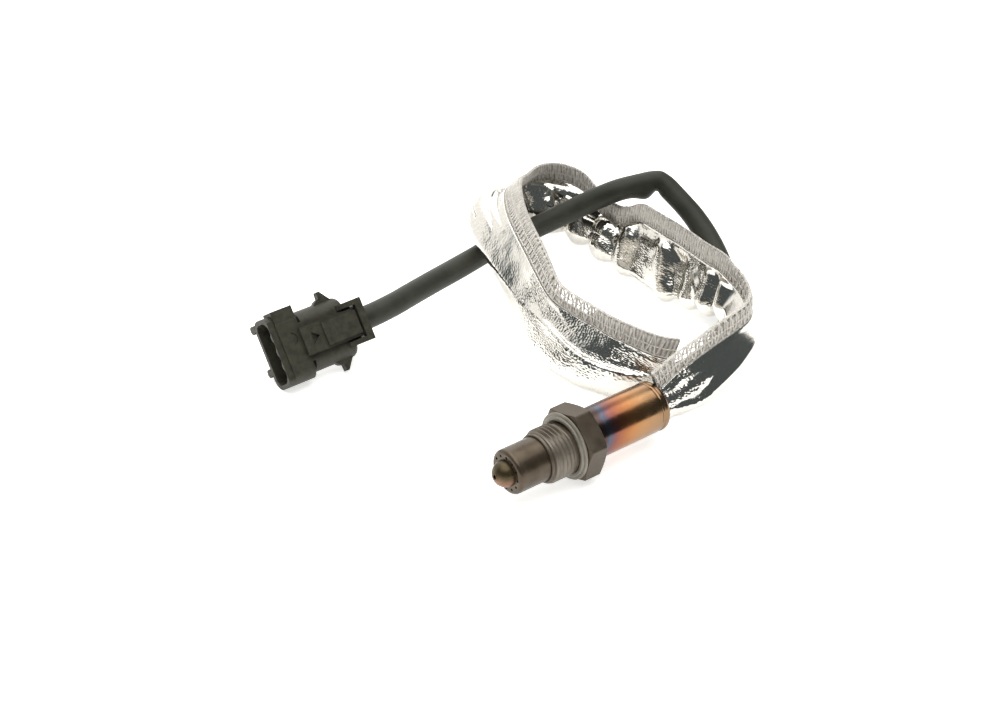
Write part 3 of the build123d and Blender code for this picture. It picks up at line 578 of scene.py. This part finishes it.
def make_sleeve(path):
    """The crumpled cloth of the sleeve, with its thickness on the outside."""
    sleeve = Sleeve(path)
    outlines = np.stack([sleeve.outline(row) for row in range(SLEEVE_ROWS)])
    points = sleeve.place(outlines[..., 0], outlines[..., 1])
    steps = np.linalg.norm(np.diff(points, axis=1), axis=2)
    around = np.concatenate([np.zeros((SLEEVE_ROWS, 1)), np.cumsum(steps, 1)], 1)
    normals = unit(np.cross(np.gradient(points, axis=0), np.gradient(points, axis=1)))
    flip = np.sign((normals * (points - sleeve.centre[:, None])).sum(-1).mean())
    *depths, shown = columns_at(CRUMPLING, sleeve.along)
    push = cloth_push(sleeve, outlines, around, depths)
    points = points + normals * flip * push[..., None]
    points[..., 2] = np.maximum(points[..., 2], LOWEST_CLOTH_Z)
    faces = grid_faces(SLEEVE_ROWS, outlines.shape[1])
    cloth = mesh_piece("sleeve_cloth", points.reshape(-1, 3), faces)
    add_weave(cloth, sleeve.at[:, None], around, shown[:, None])
    solid = cloth.modifiers.new("thickness", "SOLIDIFY")
    solid.thickness = CLOTH_THICKNESS * MM
    solid.offset = -1 if flip > 0 else 1
    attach(cloth, "root")
    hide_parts("heat_sleeve")
    return sleeve, cloth


def thread_line(sleeve, distances, across, over_foot):
    """The line of a thread, from its place in the stitched band at distances along the sleeve."""
    flat = np.zeros((SLEEVE_ROWS, 1))
    corners = ((0, 0), (1, 0), (0, 1))
    foot, beside, above = (sleeve.band(flat + a, flat + b)[:, 0] for a, b in corners)

    def at(values):
        return np.stack([np.interp(distances, sleeve.along, values[:, c]) for c in range(3)], 1)

    return at(foot) + at(beside - foot) * across[:, None] + at(above - foot) * over_foot[:, None]


def thread_wall(line, radius):
    """Points of a thread's wall round its line."""
    ahead = unit(np.gradient(line, axis=0))
    askew = np.roll(ahead, 1, 1) + np.array([0.3, 0.2, 0.9])
    side = unit(np.cross(ahead, askew))
    radii = np.full((len(line), THREAD_SIDES), radius)
    return tube(line, side, np.cross(ahead, side), radii, THREAD_SIDES)


def make_stitching(sleeve):
    """Overlocked threads: a zigzag over the edge, needle lines and a looped chain along it."""
    points, faces = [], []

    def add(radius, *line):
        new_points, new_faces = capped(thread_wall(thread_line(sleeve, *line), radius))
        faces.extend([[i + len(points) for i in face] for face in new_faces])
        points.extend(new_points)

    points_a_turn = 36
    fine = np.linspace(0, SLEEVE_LENGTH, 12000)
    (openness,) = columns_at(OPENNESS, fine)
    pitch = TIGHT_PITCH + PITCH_GROWTH * openness
    phase = np.cumsum(2 * pi / pitch) * (fine[1] - fine[0])
    turns = int(phase[-1] / (2 * pi))
    swing = np.linspace(0, turns, turns * points_a_turn) * 2 * pi
    places = np.interp(swing, phase, fine)
    wobble = 0.5 * noise_line((d / 1.7, 0, 0) for d in places)
    drift = 0.22 * (np.sin(places / 3.1) + 2 * wobble)
    strayed = np.clip(places + drift, 0, SLEEVE_LENGTH)
    for offset in (0, pi):
        # each thread climbs one side, crosses the edge and comes down the other
        turn = swing + offset
        across = BAND_HALF * np.clip(1.6 * np.sin(turn), -1, 1)
        over_foot = SEAM_HEIGHT * (1 - 0.9 * (0.5 - 0.5 * np.cos(2 * turn)) ** 0.8) + 0.15
        add(OVERLOCK_R, strayed, across, over_foot + wobble)
    needle = np.linspace(0, SLEEVE_LENGTH, int(SLEEVE_LENGTH / 0.7))
    ripple = needle * 2 * pi / NEEDLE_STITCH
    for side in (-1, 1):
        for rise in NEEDLE_ROWS:
            across = side * (BAND_HALF + 0.1 * np.sin(ripple))
            add(NEEDLE_R, needle, across, rise + 0.22 * np.sin(ripple * 1.7 + rise))
    chain = np.linspace(0, SLEEVE_LENGTH, int(SLEEVE_LENGTH / 0.35))
    loops = chain * 2 * pi / CHAIN_STITCH
    for offset in (0, pi):
        across = 0.42 * np.sin(loops + offset)
        add(CHAIN_R, chain, across, SEAM_HEIGHT + 0.14 * np.sin(2 * loops))
    stitching = mesh_piece("seam_threads", points, faces)
    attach(stitching, "root")
    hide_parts("sleeve_stitching")
    return stitching


def make_seam_cloth(sleeve):
    """Two layers of cloth between the seam's stitches, cut lower where the stitching is open."""
    (openness,) = columns_at(OPENNESS, sleeve.along)
    ragged = noise_line((a / 1.6, 4.0, 0) for a in sleeve.along)
    under_edge, cut, raggedness = 0.5, 4.4, 0.35
    height = SEAM_HEIGHT - under_edge - cut * step(openness, 0.3, 0.9) + raggedness * ragged
    half = SEAM_HALF - 0.15  # the cloth lies inside its threads
    lap = 0.6  # of the cloth under the band's foot
    far_side = 30  # keeps the weave's noise different on the two sides
    over = np.linspace(0, pi, 5)[1:-1]
    ones, none = np.ones(SEAM_COLUMNS), np.zeros(SEAM_COLUMNS)
    rise, fall = np.linspace(0, 1, SEAM_COLUMNS), np.linspace(1, 0, SEAM_COLUMNS)
    x = np.concatenate([half * ones, half * np.cos(over), -half * ones])
    share = np.concatenate([rise, np.ones(len(over)), fall])
    hump = np.concatenate([none, 0.35 * np.sin(over), none])
    wave = noise_line((a / 4, 0, 0) for a in sleeve.along)
    across = x[None] + 0.2 * wave[:, None] * share[None]
    over_foot = -lap + (height[:, None] + lap) * share[None] + hump[None]
    points = sleeve.band(across, over_foot)
    seam = mesh_piece("seam_cloth", points.reshape(-1, 3), grid_faces(SLEEVE_ROWS, len(x)))
    add_weave(seam, sleeve.at[:, None], over_foot + np.where(x > 0, 0, far_side)[None], 0)
    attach(seam, "root")
    return seam


# --------------------------------------------------------------------------- threaded hexagon shell
def soft_minimum(first, second, softness):
    """The lower of two lengths, with their meeting rounded off."""
    return -np.log(np.exp(-first / softness) + np.exp(-second / softness)) * softness


def lathe_wall(profile, theta):
    """Points of a wall round the X axis, from places along it and radii for each angle."""
    wall = np.zeros((len(profile), len(theta), 3))
    for row, (x, radius) in enumerate(profile):
        wall[row, :, 0] = x
        wall[row, :, 1] = radius * np.cos(theta)
        wall[row, :, 2] = radius * np.sin(theta)
    return wall.reshape(-1, 3)


def make_hex_shell():
    """Body of the sensor: spigot, chamfered hexagon, undercut neck, cut thread and plain nose."""
    columns = 360
    theta = np.linspace(0, 2 * pi, columns, endpoint=False)
    to_flat = (theta - radians(HEX_ROLL)) % (pi / 3) - pi / 6
    corner_r = HEX_CORNER_R - 0.12  # the bar's rounded corners
    hexagon = soft_minimum(HEX_ACROSS_FLATS / 2 / np.cos(to_flat), corner_r, 0.05)
    from_bare = np.abs((theta - radians(BARE_SIDE) + pi) % (2 * pi) - pi)
    bare = step(from_bare, radians(95), radians(60))  # 1 on the side without paste
    spigot = np.full(columns, SPIGOT_R)
    profile = [(SPIGOT_END_X, spigot), (HEX_REAR_X, spigot)]
    # both faces of the hexagon are chamfered by a cone from a circle just outside its flats
    circle_r, cone_angle = HEX_ACROSS_FLATS / 2 + 0.1, radians(68)
    length = HEX_FRONT_X - HEX_REAR_X
    inset = np.linspace(0, 1.4, 18)
    for t in [*inset, length / 2, *(length - inset[::-1])]:
        cone = circle_r + min(t, length - t) * tan(cone_angle)
        profile.append((HEX_REAR_X + t, soft_minimum(hexagon, cone, 0.06)))
    neck = NECK_R + PASTE_ON_NECK * (1 - bare)
    profile += [(HEX_FRONT_X, neck), (NECK_END_X, neck)]
    # the tooth is a triangle wave, cut off at its crest and root, and it runs out at both ends
    steepness, root = 1.35, 0.12
    depth = PASTE_DEPTH + (THREAD_DEPTH - PASTE_DEPTH) * bare
    for x in np.arange(0.95, 8.95, 0.075):
        turn = (x / THREAD_PITCH - theta / (2 * pi)) % 1
        tooth = np.clip((0.5 - np.abs(turn - 0.5)) * 2 * steepness - root, 0, 1)
        full = step(x, NECK_END_X, 2.2) * (1 - 0.75 * step(x, 7.9, 8.9))
        profile.append((x, THREAD_MAJOR_R - depth + depth * tooth * full - (1 - full) * 0.02))
    # the plain nose, its rounded edge and the start of its bore
    for x, radius in ((9.0, 8.0), (9.9, 8.0), (NOSE_END_X, 7.8), (NOSE_END_X, 7.5), (6.0, 7.5)):
        profile.append((x, np.full(columns, radius)))
    faces = grid_faces(len(profile), columns, wrap=True)
    shell = mesh_piece("threaded_body", lathe_wall(profile, theta), faces)
    shell.data.set_sharp_from_angle(angle=radians(40))
    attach(shell, "root")
    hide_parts("hex_shell")
    return shell


def make_inner_tube():
    """Domed inner cup with its flange, its port in the crown and six gas holes further back."""
    radius, tip_x, back_x, columns = 4.35, 26.6, 3.3, 150
    flange_r, port_r, port_tilt = 6.3, 1.1, radians(6)
    gas_hole_x, gas_hole_r, gas_holes = 9.5, 0.75, 6
    dome_x = tip_x - radius
    arc = np.linspace(0, pi / 2, 44)[1:-1]
    side_x = np.linspace(back_x + 0.15, dome_x, 110)
    x = np.concatenate([[back_x, back_x], side_x, dome_x + radius * np.sin(arc)])
    side_r = np.full(len(side_x), radius)
    r = np.concatenate([[flange_r, radius + 0.1], side_r, radius * np.cos(arc)])
    theta = np.linspace(0, 2 * pi, columns, endpoint=False)
    points = np.concatenate([lathe_wall(list(zip(x, r)), theta), [(tip_x, 0, 0)]])
    last = (len(x) - 1) * columns
    faces = grid_faces(len(x), columns, wrap=True)
    faces += [[last + c, last + (c + 1) % columns, len(points) - 1] for c in range(columns)]
    # a point on each hole's axis, the axis and the hole's radius
    holes = [((dome_x, 0, 0), (cos(port_tilt), 0, sin(port_tilt)), port_r)]
    for angle in np.arange(gas_holes) * 2 * pi / gas_holes:
        holes.append(((gas_hole_x, 0, 0), (0, -sin(angle), cos(angle)), gas_hole_r))
    for start, axis, hole_r in holes:
        axis = np.array(axis)
        away = points - np.array(start)
        beside = away - (away @ axis)[:, None] * axis
        reach = np.linalg.norm(beside, axis=1)
        facing = away @ axis > radius * 0.5
        # points by the edge are drawn on to it, and the faces inside it are left out
        near, far = 0.82 * hole_r, 1.16 * hole_r
        rim = facing & (reach > near) & (reach < far)
        points[rim] += beside[rim] * (hole_r / reach[rim] - 1)[:, None]
        inside = facing & (reach <= near)
        faces = [face for face in faces if not any(inside[i] for i in face)]
    cup = mesh_piece("inner_cup", points, faces)
    solid = cup.modifiers.new("thickness", "SOLIDIFY")
    solid.thickness = 0.4 * MM
    solid.offset = -1
    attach(cup, "root")
    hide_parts("inner_protection_tube")
    return cup


# --------------------------------------------------------------------------- materials
MIX_SHARE, MIX_FIRST, MIX_SECOND, MIX_COLOUR = 0, 6, 7, 2  # sockets of a mix node set to colours


class Nodes:
    """A node tree with short ways to add and wire its nodes."""

    def __init__(self, owner):
        owner.use_nodes = True
        self.tree = owner.node_tree
        self.tree.nodes.clear()

    def node(self, kind, **settings):
        new = self.tree.nodes.new(kind)
        for key, value in settings.items():
            setattr(new, key, value)
        return new

    def wire(self, source, target):
        self.tree.links.new(source, target)

    def set(self, target, value):
        """Wires an output to an input, or sets a plain number or colour on it."""
        if isinstance(value, bpy.types.NodeSocket):
            self.wire(value, target)
        else:
            target.default_value = value

    def maths(self, operation, first, second):
        new = self.node("ShaderNodeMath", operation=operation)
        self.set(new.inputs[0], first)
        self.set(new.inputs[1], second)
        return new.outputs["Value"]

    def mix(self, share, first, second):
        new = self.node("ShaderNodeMix", data_type="RGBA")
        self.wire(share, new.inputs[MIX_SHARE])
        self.set(new.inputs[MIX_FIRST], first)
        self.set(new.inputs[MIX_SECOND], second)
        return new.outputs[MIX_COLOUR]

    def spread(self, value, from_low, from_high, low, high, **settings):
        new = self.node("ShaderNodeMapRange", **settings)
        ends = {"From Min": from_low, "From Max": from_high, "To Min": low, "To Max": high}
        for key, number in ends.items():
            new.inputs[key].default_value = number
        self.wire(value, new.inputs["Value"])
        return new.outputs["Result"]

    def split(self, vector):
        new = self.node("ShaderNodeSeparateXYZ")
        self.wire(vector, new.inputs["Vector"])
        return [new.outputs[axis] for axis in "XYZ"]


class Material(Nodes):
    """A material of one principled shader, with uniform numbers set on the shader's own inputs."""

    def __init__(self, name, uniform):
        self.name = name
        self.material = bpy.data.materials.new(name)
        super().__init__(self.material)
        output = self.node("ShaderNodeOutputMaterial")
        self.shader = self.node("ShaderNodeBsdfPrincipled")
        self.wire(self.shader.outputs["BSDF"], output.inputs["Surface"])
        for key, value in uniform.items():
            self.shader.inputs[key].default_value = value

    def coordinates(self, scale=(1, 1, 1), attribute=None):
        """The piece's own coordinates in metres, or a mesh attribute."""
        if attribute:
            source = self.node("ShaderNodeAttribute", attribute_name=attribute).outputs["Vector"]
        else:
            source = self.node("ShaderNodeTexCoord").outputs["Object"]
        mapping = self.node("ShaderNodeMapping")
        mapping.inputs["Scale"].default_value = scale
        self.wire(source, mapping.inputs["Vector"])
        return mapping.outputs["Vector"]

    def noise(self, vector, scale, detail=3.0, roughness=0.55):
        new = self.node("ShaderNodeTexNoise")
        for key, number in {"Scale": scale, "Detail": detail, "Roughness": roughness}.items():
            new.inputs[key].default_value = number
        self.wire(vector, new.inputs["Vector"])
        return new.outputs["Fac"]

    def ramp(self, value, *stops):
        new = self.node("ShaderNodeValToRGB")
        elements = new.color_ramp.elements
        while len(elements) < len(stops):
            elements.new(0.5)
        for element, (place, colour) in zip(elements, stops):
            element.position = place
            element.color = (*colour, 1)
        self.wire(value, new.inputs["Fac"])
        return new.outputs["Color"]

    def colour(self, source):
        self.wire(source, self.shader.inputs["Base Color"])

    def rough(self, source):
        self.wire(source, self.shader.inputs["Roughness"])

    def bump(self, height, depth):
        """Relief in the shading, with its depth in millimetres."""
        new = self.node("ShaderNodeBump")
        new.inputs["Strength"].default_value = 1.0
        new.inputs["Distance"].default_value = depth * MM
        self.wire(height, new.inputs["Height"])
        self.wire(new.outputs["Normal"], self.shader.inputs["Normal"])


def turned_surface(name, rough, metallic):
    """Metal with turning lines round the X axis but no colour yet, and the blotches of its film."""
    m = Material(name, {"Metallic": metallic})
    blotch = m.noise(m.coordinates(), 170.0, 4.0)
    m.rough(m.spread(blotch, 0.3, 0.7, *rough))
    m.bump(m.noise(m.coordinates((1, 0.02, 0.02)), 5200.0, 3.0, 0.7), 0.03)
    return m, blotch


def turned_metal(name, dark, light, rough=(0.3, 0.5), metallic=1.0):
    """Turned metal in two colours that run into each other."""
    m, blotch = turned_surface(name, rough, metallic)
    m.colour(m.ramp(blotch, (0.35, dark), (0.68, light)))
    return m


def threaded_metal():
    """Browned steel whose thread is smeared with grey anti-seize paste."""
    m, blotch = turned_surface("steel_body", (0.38, 0.55), 0.6)
    browned = m.ramp(blotch, (0.35, (0.064, 0.047, 0.030)), (0.68, (0.098, 0.080, 0.058)))
    x, y, z = m.split(m.coordinates())
    behind = m.spread(x, 0.6 * MM, 1.2 * MM, 0, 1)
    ahead = m.spread(x, NOSE_END_X * MM, 9.4 * MM, 0, 1)
    sideways = m.maths("SUBTRACT", m.maths("MULTIPLY", y, 0.87), m.maths("MULTIPLY", z, 0.5))
    side = m.spread(sideways, -6 * MM, 1 * MM, 0.65, 1)
    smears = m.spread(m.noise(m.coordinates((1, 0.35, 0.35)), 420.0, 3.0), 0.35, 0.6, 0.6, 1)
    share = m.maths("MULTIPLY", m.maths("MULTIPLY", behind, ahead), side)
    share = m.maths("MULTIPLY", share, smears)
    m.colour(m.mix(share, browned, (0.185, 0.160, 0.130, 1)))
    return m


def dome_material():
    """Olive-brown and coppery heat colours of the steel, laid out by height with painted light: the
    top is made dark as painted shade and the bottom about four times lighter as painted reflected
    light.
    """
    m, _ = turned_surface("steel_dome", (0.3, 0.45), 0.7)
    _, _, z = m.split(m.coordinates())
    mottle = m.spread(m.noise(m.coordinates(), 420.0), 0, 1, -1.5 * MM, 1.5 * MM)
    # painted light: by height alone the colour runs from a light copper at the bottom (painted
    # reflected light) to a dark olive at the top (painted shade)
    height = m.spread(m.maths("ADD", z, mottle), -3.5 * MM, 3.0 * MM, 0, 1)
    tints = (
        (0.0, (0.230, 0.128, 0.084)),
        (0.45, (0.190, 0.104, 0.064)),
        (0.7, (0.075, 0.055, 0.026)),
        (1.0, (0.062, 0.046, 0.021)),
    )
    m.colour(m.ramp(height, *tints))
    return m


def heat_tint_material():
    """Stainless tube with the oxide colours of welding heat, from blue by the hexagon to straw."""
    m = Material("heat_tinted_steel", {"Metallic": 1.0})
    x, _, z = m.split(m.coordinates())
    wander = m.noise(m.coordinates((0.25, 1, 1)), 170.0, 2.0)
    leaning = m.maths("ADD", x, m.maths("MULTIPLY", z, 0.3))
    shifted = m.maths("ADD", leaning, m.spread(wander, 0, 1, -2.6 * MM, 2.6 * MM))
    tints = (
        (0.00, (0.066, 0.046, 0.036)),
        (0.06, (0.080, 0.056, 0.058)),
        (0.10, (0.075, 0.092, 0.125)),
        (0.14, (0.110, 0.078, 0.100)),
        (0.21, (0.190, 0.074, 0.060)),
        (0.31, (0.270, 0.104, 0.050)),
        (0.45, (0.340, 0.155, 0.062)),
        (0.62, (0.320, 0.178, 0.085)),
        (0.80, (0.270, 0.165, 0.092)),
        (0.93, (0.220, 0.140, 0.080)),
        (1.00, (0.180, 0.115, 0.070)),
    )
    m.colour(m.ramp(m.spread(shifted, HEX_REAR_X * MM, REAR_TUBE_END_X * MM, 0, 1), *tints))
    m.rough(m.spread(m.noise(m.coordinates(), 300.0), 0.3, 0.7, 0.16, 0.26))
    m.bump(m.noise(m.coordinates((1, 0.05, 0.05)), 4200.0, 3.0, 0.7), 0.006)
    return m


def foil_material():
    """Aluminised glass cloth: mirror film over a staggered weave of short floats."""
    m = Material("aluminised_cloth", {"Metallic": 1.0})
    cells = m.node("ShaderNodeTexVoronoi", feature="F1")
    cells.inputs["Scale"].default_value = 1.0
    cells.inputs["Randomness"].default_value = 0.7
    m.wire(m.coordinates((0.95, 1.35, 0), "weave"), cells.inputs["Vector"])
    floats = cells.outputs["Distance"]
    zones = m.noise(m.coordinates((1, 1.6, 0), "weave"), 0.085, 2.0)
    _, _, shown = m.split(m.coordinates((1, 1, 1), "weave"))
    strength = m.maths("MULTIPLY", m.spread(zones, 0.38, 0.6, 0.4, 1.0), shown)
    fine = m.noise(m.coordinates((1, 1, 0), "weave"), 1.1, 3.0, 0.6)
    relief = m.maths("ADD", floats, m.maths("MULTIPLY", fine, 0.3))
    m.colour(m.ramp(fine, (0.3, (0.58, 0.56, 0.52)), (0.7, (0.67, 0.65, 0.605))))
    m.rough(m.spread(floats, 0.2, 0.7, 0.07, 0.15))
    m.bump(m.maths("MULTIPLY", relief, strength), 0.30)
    return m


def seam_cloth_material():
    """Grey-beige tape of the seam, woven in ribs across its length."""
    m = Material("seam_cloth", {"Roughness": 0.7})
    wave = m.node("ShaderNodeTexWave", bands_direction="X")
    for key, number in {"Scale": 0.32, "Distortion": 1.2, "Detail": 2.0}.items():
        wave.inputs[key].default_value = number
    m.wire(m.coordinates((1, 1, 1), "weave"), wave.inputs["Vector"])
    ribs = wave.outputs["Fac"]
    flecks = m.noise(m.coordinates((1, 0.4, 1), "weave"), 2.2, 3.0)
    tone = m.maths("ADD", m.maths("MULTIPLY", flecks, 0.65), m.maths("MULTIPLY", ribs, 0.35))
    shades = ((0.3, (0.33, 0.305, 0.275)), (0.5, (0.54, 0.51, 0.465)), (0.72, (0.74, 0.71, 0.665)))
    m.colour(m.ramp(tone, *shades))
    m.bump(m.maths("ADD", ribs, flecks), 0.25)
    return m


def thread_material():
    """Grey-beige glass thread with lighter flecks."""
    m = Material("seam_thread", {"Roughness": 0.65})
    flecks = m.noise(m.coordinates(), 900.0, 2.0)
    m.colour(m.ramp(flecks, (0.3, (0.54, 0.51, 0.465)), (0.7, (0.80, 0.77, 0.725))))
    m.bump(m.noise(m.coordinates(), 3500.0, 2.0), 0.06)
    return m


def grained_plastic(name, dark, light, rough=(0.42, 0.62), shine=0.5):
    """Plastic or ceramic with a fine grain."""
    m = Material(name, {"Specular IOR Level": shine})
    mottle = m.noise(m.coordinates(), 420.0, 5.0, 0.65)
    m.colour(m.ramp(mottle, (0.34, dark), (0.7, light)))
    m.rough(m.spread(mottle, 0.3, 0.7, *rough))
    m.bump(m.noise(m.coordinates(), 2600.0, 3.0, 0.6), 0.05)
    return m


def rubber(name, dark, light, shine=0.2):
    """Rubber or a wire's insulation, slightly blotchy."""
    m = Material(name, {"Specular IOR Level": shine})
    blotch = m.noise(m.coordinates(), 110.0, 4.0)
    m.colour(m.ramp(blotch, (0.35, dark), (0.7, light)))
    m.rough(m.spread(blotch, 0.3, 0.7, 0.34, 0.5))
    m.bump(m.noise(m.coordinates(), 1500.0, 4.0, 0.6), 0.03)
    return m


def make_materials():
    """Every material under its name, which is also the slot of the pieces that wear it."""
    metals = {
        "steel_ring": ((0.190, 0.172, 0.142), (0.268, 0.244, 0.205), (0.45, 0.6), 0.4),
        "steel_tube": ((0.058, 0.042, 0.026), (0.096, 0.074, 0.052), (0.26, 0.38), 0.7),
        "spring_steel": ((0.34, 0.33, 0.31), (0.5, 0.49, 0.47)),
        "contact_nickel": ((0.42, 0.40, 0.36), (0.62, 0.6, 0.55)),
        "terminal_brass": ((0.46, 0.42, 0.34), (0.66, 0.62, 0.54)),
    }
    grained = {
        "zirconia": ((0.62, 0.60, 0.55), (0.74, 0.72, 0.68)),
        "alumina": ((0.66, 0.64, 0.60), (0.80, 0.78, 0.75)),
        "talc": ((0.50, 0.49, 0.46), (0.66, 0.65, 0.62), (0.7, 0.9)),
        "plug_plastic": ((0.030, 0.029, 0.020), (0.054, 0.052, 0.037), (0.42, 0.62), 0.3),
        "lock_plastic": ((0.014, 0.014, 0.010), (0.026, 0.026, 0.019), (0.42, 0.62), 0.3),
    }
    rubbers = {
        "grommet_rubber": ((0.012, 0.012, 0.012), (0.024, 0.023, 0.022)),
        "lead_insulation": ((0.30, 0.30, 0.29), (0.42, 0.41, 0.40)),
        "sheath_rubber": ((0.034, 0.035, 0.028), (0.048, 0.049, 0.040), 0.15),
        "gland_rubber": ((0.008, 0.008, 0.007), (0.014, 0.014, 0.012)),
    }
    made = [threaded_metal(), dome_material(), heat_tint_material(), foil_material()]
    made += [seam_cloth_material(), thread_material()]
    for make, looks in ((turned_metal, metals), (grained_plastic, grained), (rubber, rubbers)):
        made += [make(name, *look) for name, look in looks.items()]
    return {m.name: m.material for m in made}


# --------------------------------------------------------------------------- studio
ROOM_LIGHT = 0.11
ROOM_TINT = (0.90, 1.02, 1.03, 1)  # the room is a little cooler than its lights
LIGHTS_TINT = (1.0, 0.985, 0.96, 1)
# Each light's direction, the cosines of the angles from it where its edge starts and ends, and its
# strength.
LIGHTS = (
    ((0, 0, 1), 0.77, 0.82, 2.7),  # a soft box overhead
    ((-0.053, -0.999, 0), 0.50, 0.76, 1.35),  # a paler wall behind and to the left
    ((-0.45, -0.57, 0.69), 0.78, 0.95, 1.0),  # a second box over it
)
FLOOR_REACH = 9000
FLOOR_GAP = 0.02  # keeps the floor off the pieces that rest on it


def make_floor():
    """A sheet of bright paper under the part."""
    low, high = -FLOOR_REACH, FLOOR_REACH
    corners = [(low, low, 0), (high, low, 0), (high, high, 0), (low, high, 0)]
    floor = mesh_piece("floor", corners, [(0, 1, 2, 3)], stage=True)
    floor.location.z = (FLOOR_Z - FLOOR_GAP) * MM
    looks = {
        "Base Color": (0.93, 0.93, 0.925, 1),
        "Roughness": 0.9,
        "Specular IOR Level": 0.0,
        "Emission Color": (1.0, 1.0, 0.985, 1),
        "Emission Strength": 0.66,
    }
    floor.data.materials.append(Material("floor_paper", looks).material)


def make_world():
    """A dim room with soft-edged lights."""
    world = bpy.data.worlds.new("studio")
    scene.world = world
    w = Nodes(world)
    direction = w.node("ShaderNodeTexCoord").outputs["Generated"]
    glows = []
    for axis, low, high, strength in LIGHTS:
        toward = w.node("ShaderNodeVectorMath", operation="DOT_PRODUCT")
        w.wire(direction, toward.inputs[0])
        toward.inputs[1].default_value = axis
        cosine = toward.outputs["Value"]
        glows.append(w.spread(cosine, low, high, 0, strength, interpolation_type="SMOOTHSTEP"))
    light = glows[0]
    for glow in glows[1:]:
        light = w.maths("ADD", light, glow)
    background = w.node("ShaderNodeBackground")
    w.wire(w.maths("ADD", light, ROOM_LIGHT), background.inputs["Strength"])
    w.wire(w.mix(light, ROOM_TINT, LIGHTS_TINT), background.inputs["Color"])
    output = w.node("ShaderNodeOutputWorld")
    w.wire(background.outputs["Background"], output.inputs["Surface"])
    scene.view_settings.view_transform = "Standard"


# --------------------------------------------------------------------------- making
make_camera()
path = Path(route_line())
cable = make_cable(path)
sleeve, cloth = make_sleeve(path)
seam = make_seam_cloth(sleeve)
stitching = make_stitching(sleeve)
shell = make_hex_shell()
cup = make_inner_tube()
make_floor()
make_world()

materials = make_materials()
for piece, name in (
    (cable, "sheath_rubber"),
    (cloth, "aluminised_cloth"),
    (seam, "seam_cloth"),
    (stitching, "seam_thread"),
    (shell, "steel_body"),
    (cup, "steel_dome"),
):
    piece.data.materials.append(materials[name])
for part in frame["record"]["subparts"]:
    obj = frame["nodes"][part["node"]]
    obj.data.materials.clear()
    obj.data.materials.append(materials[part["material_slot"]])
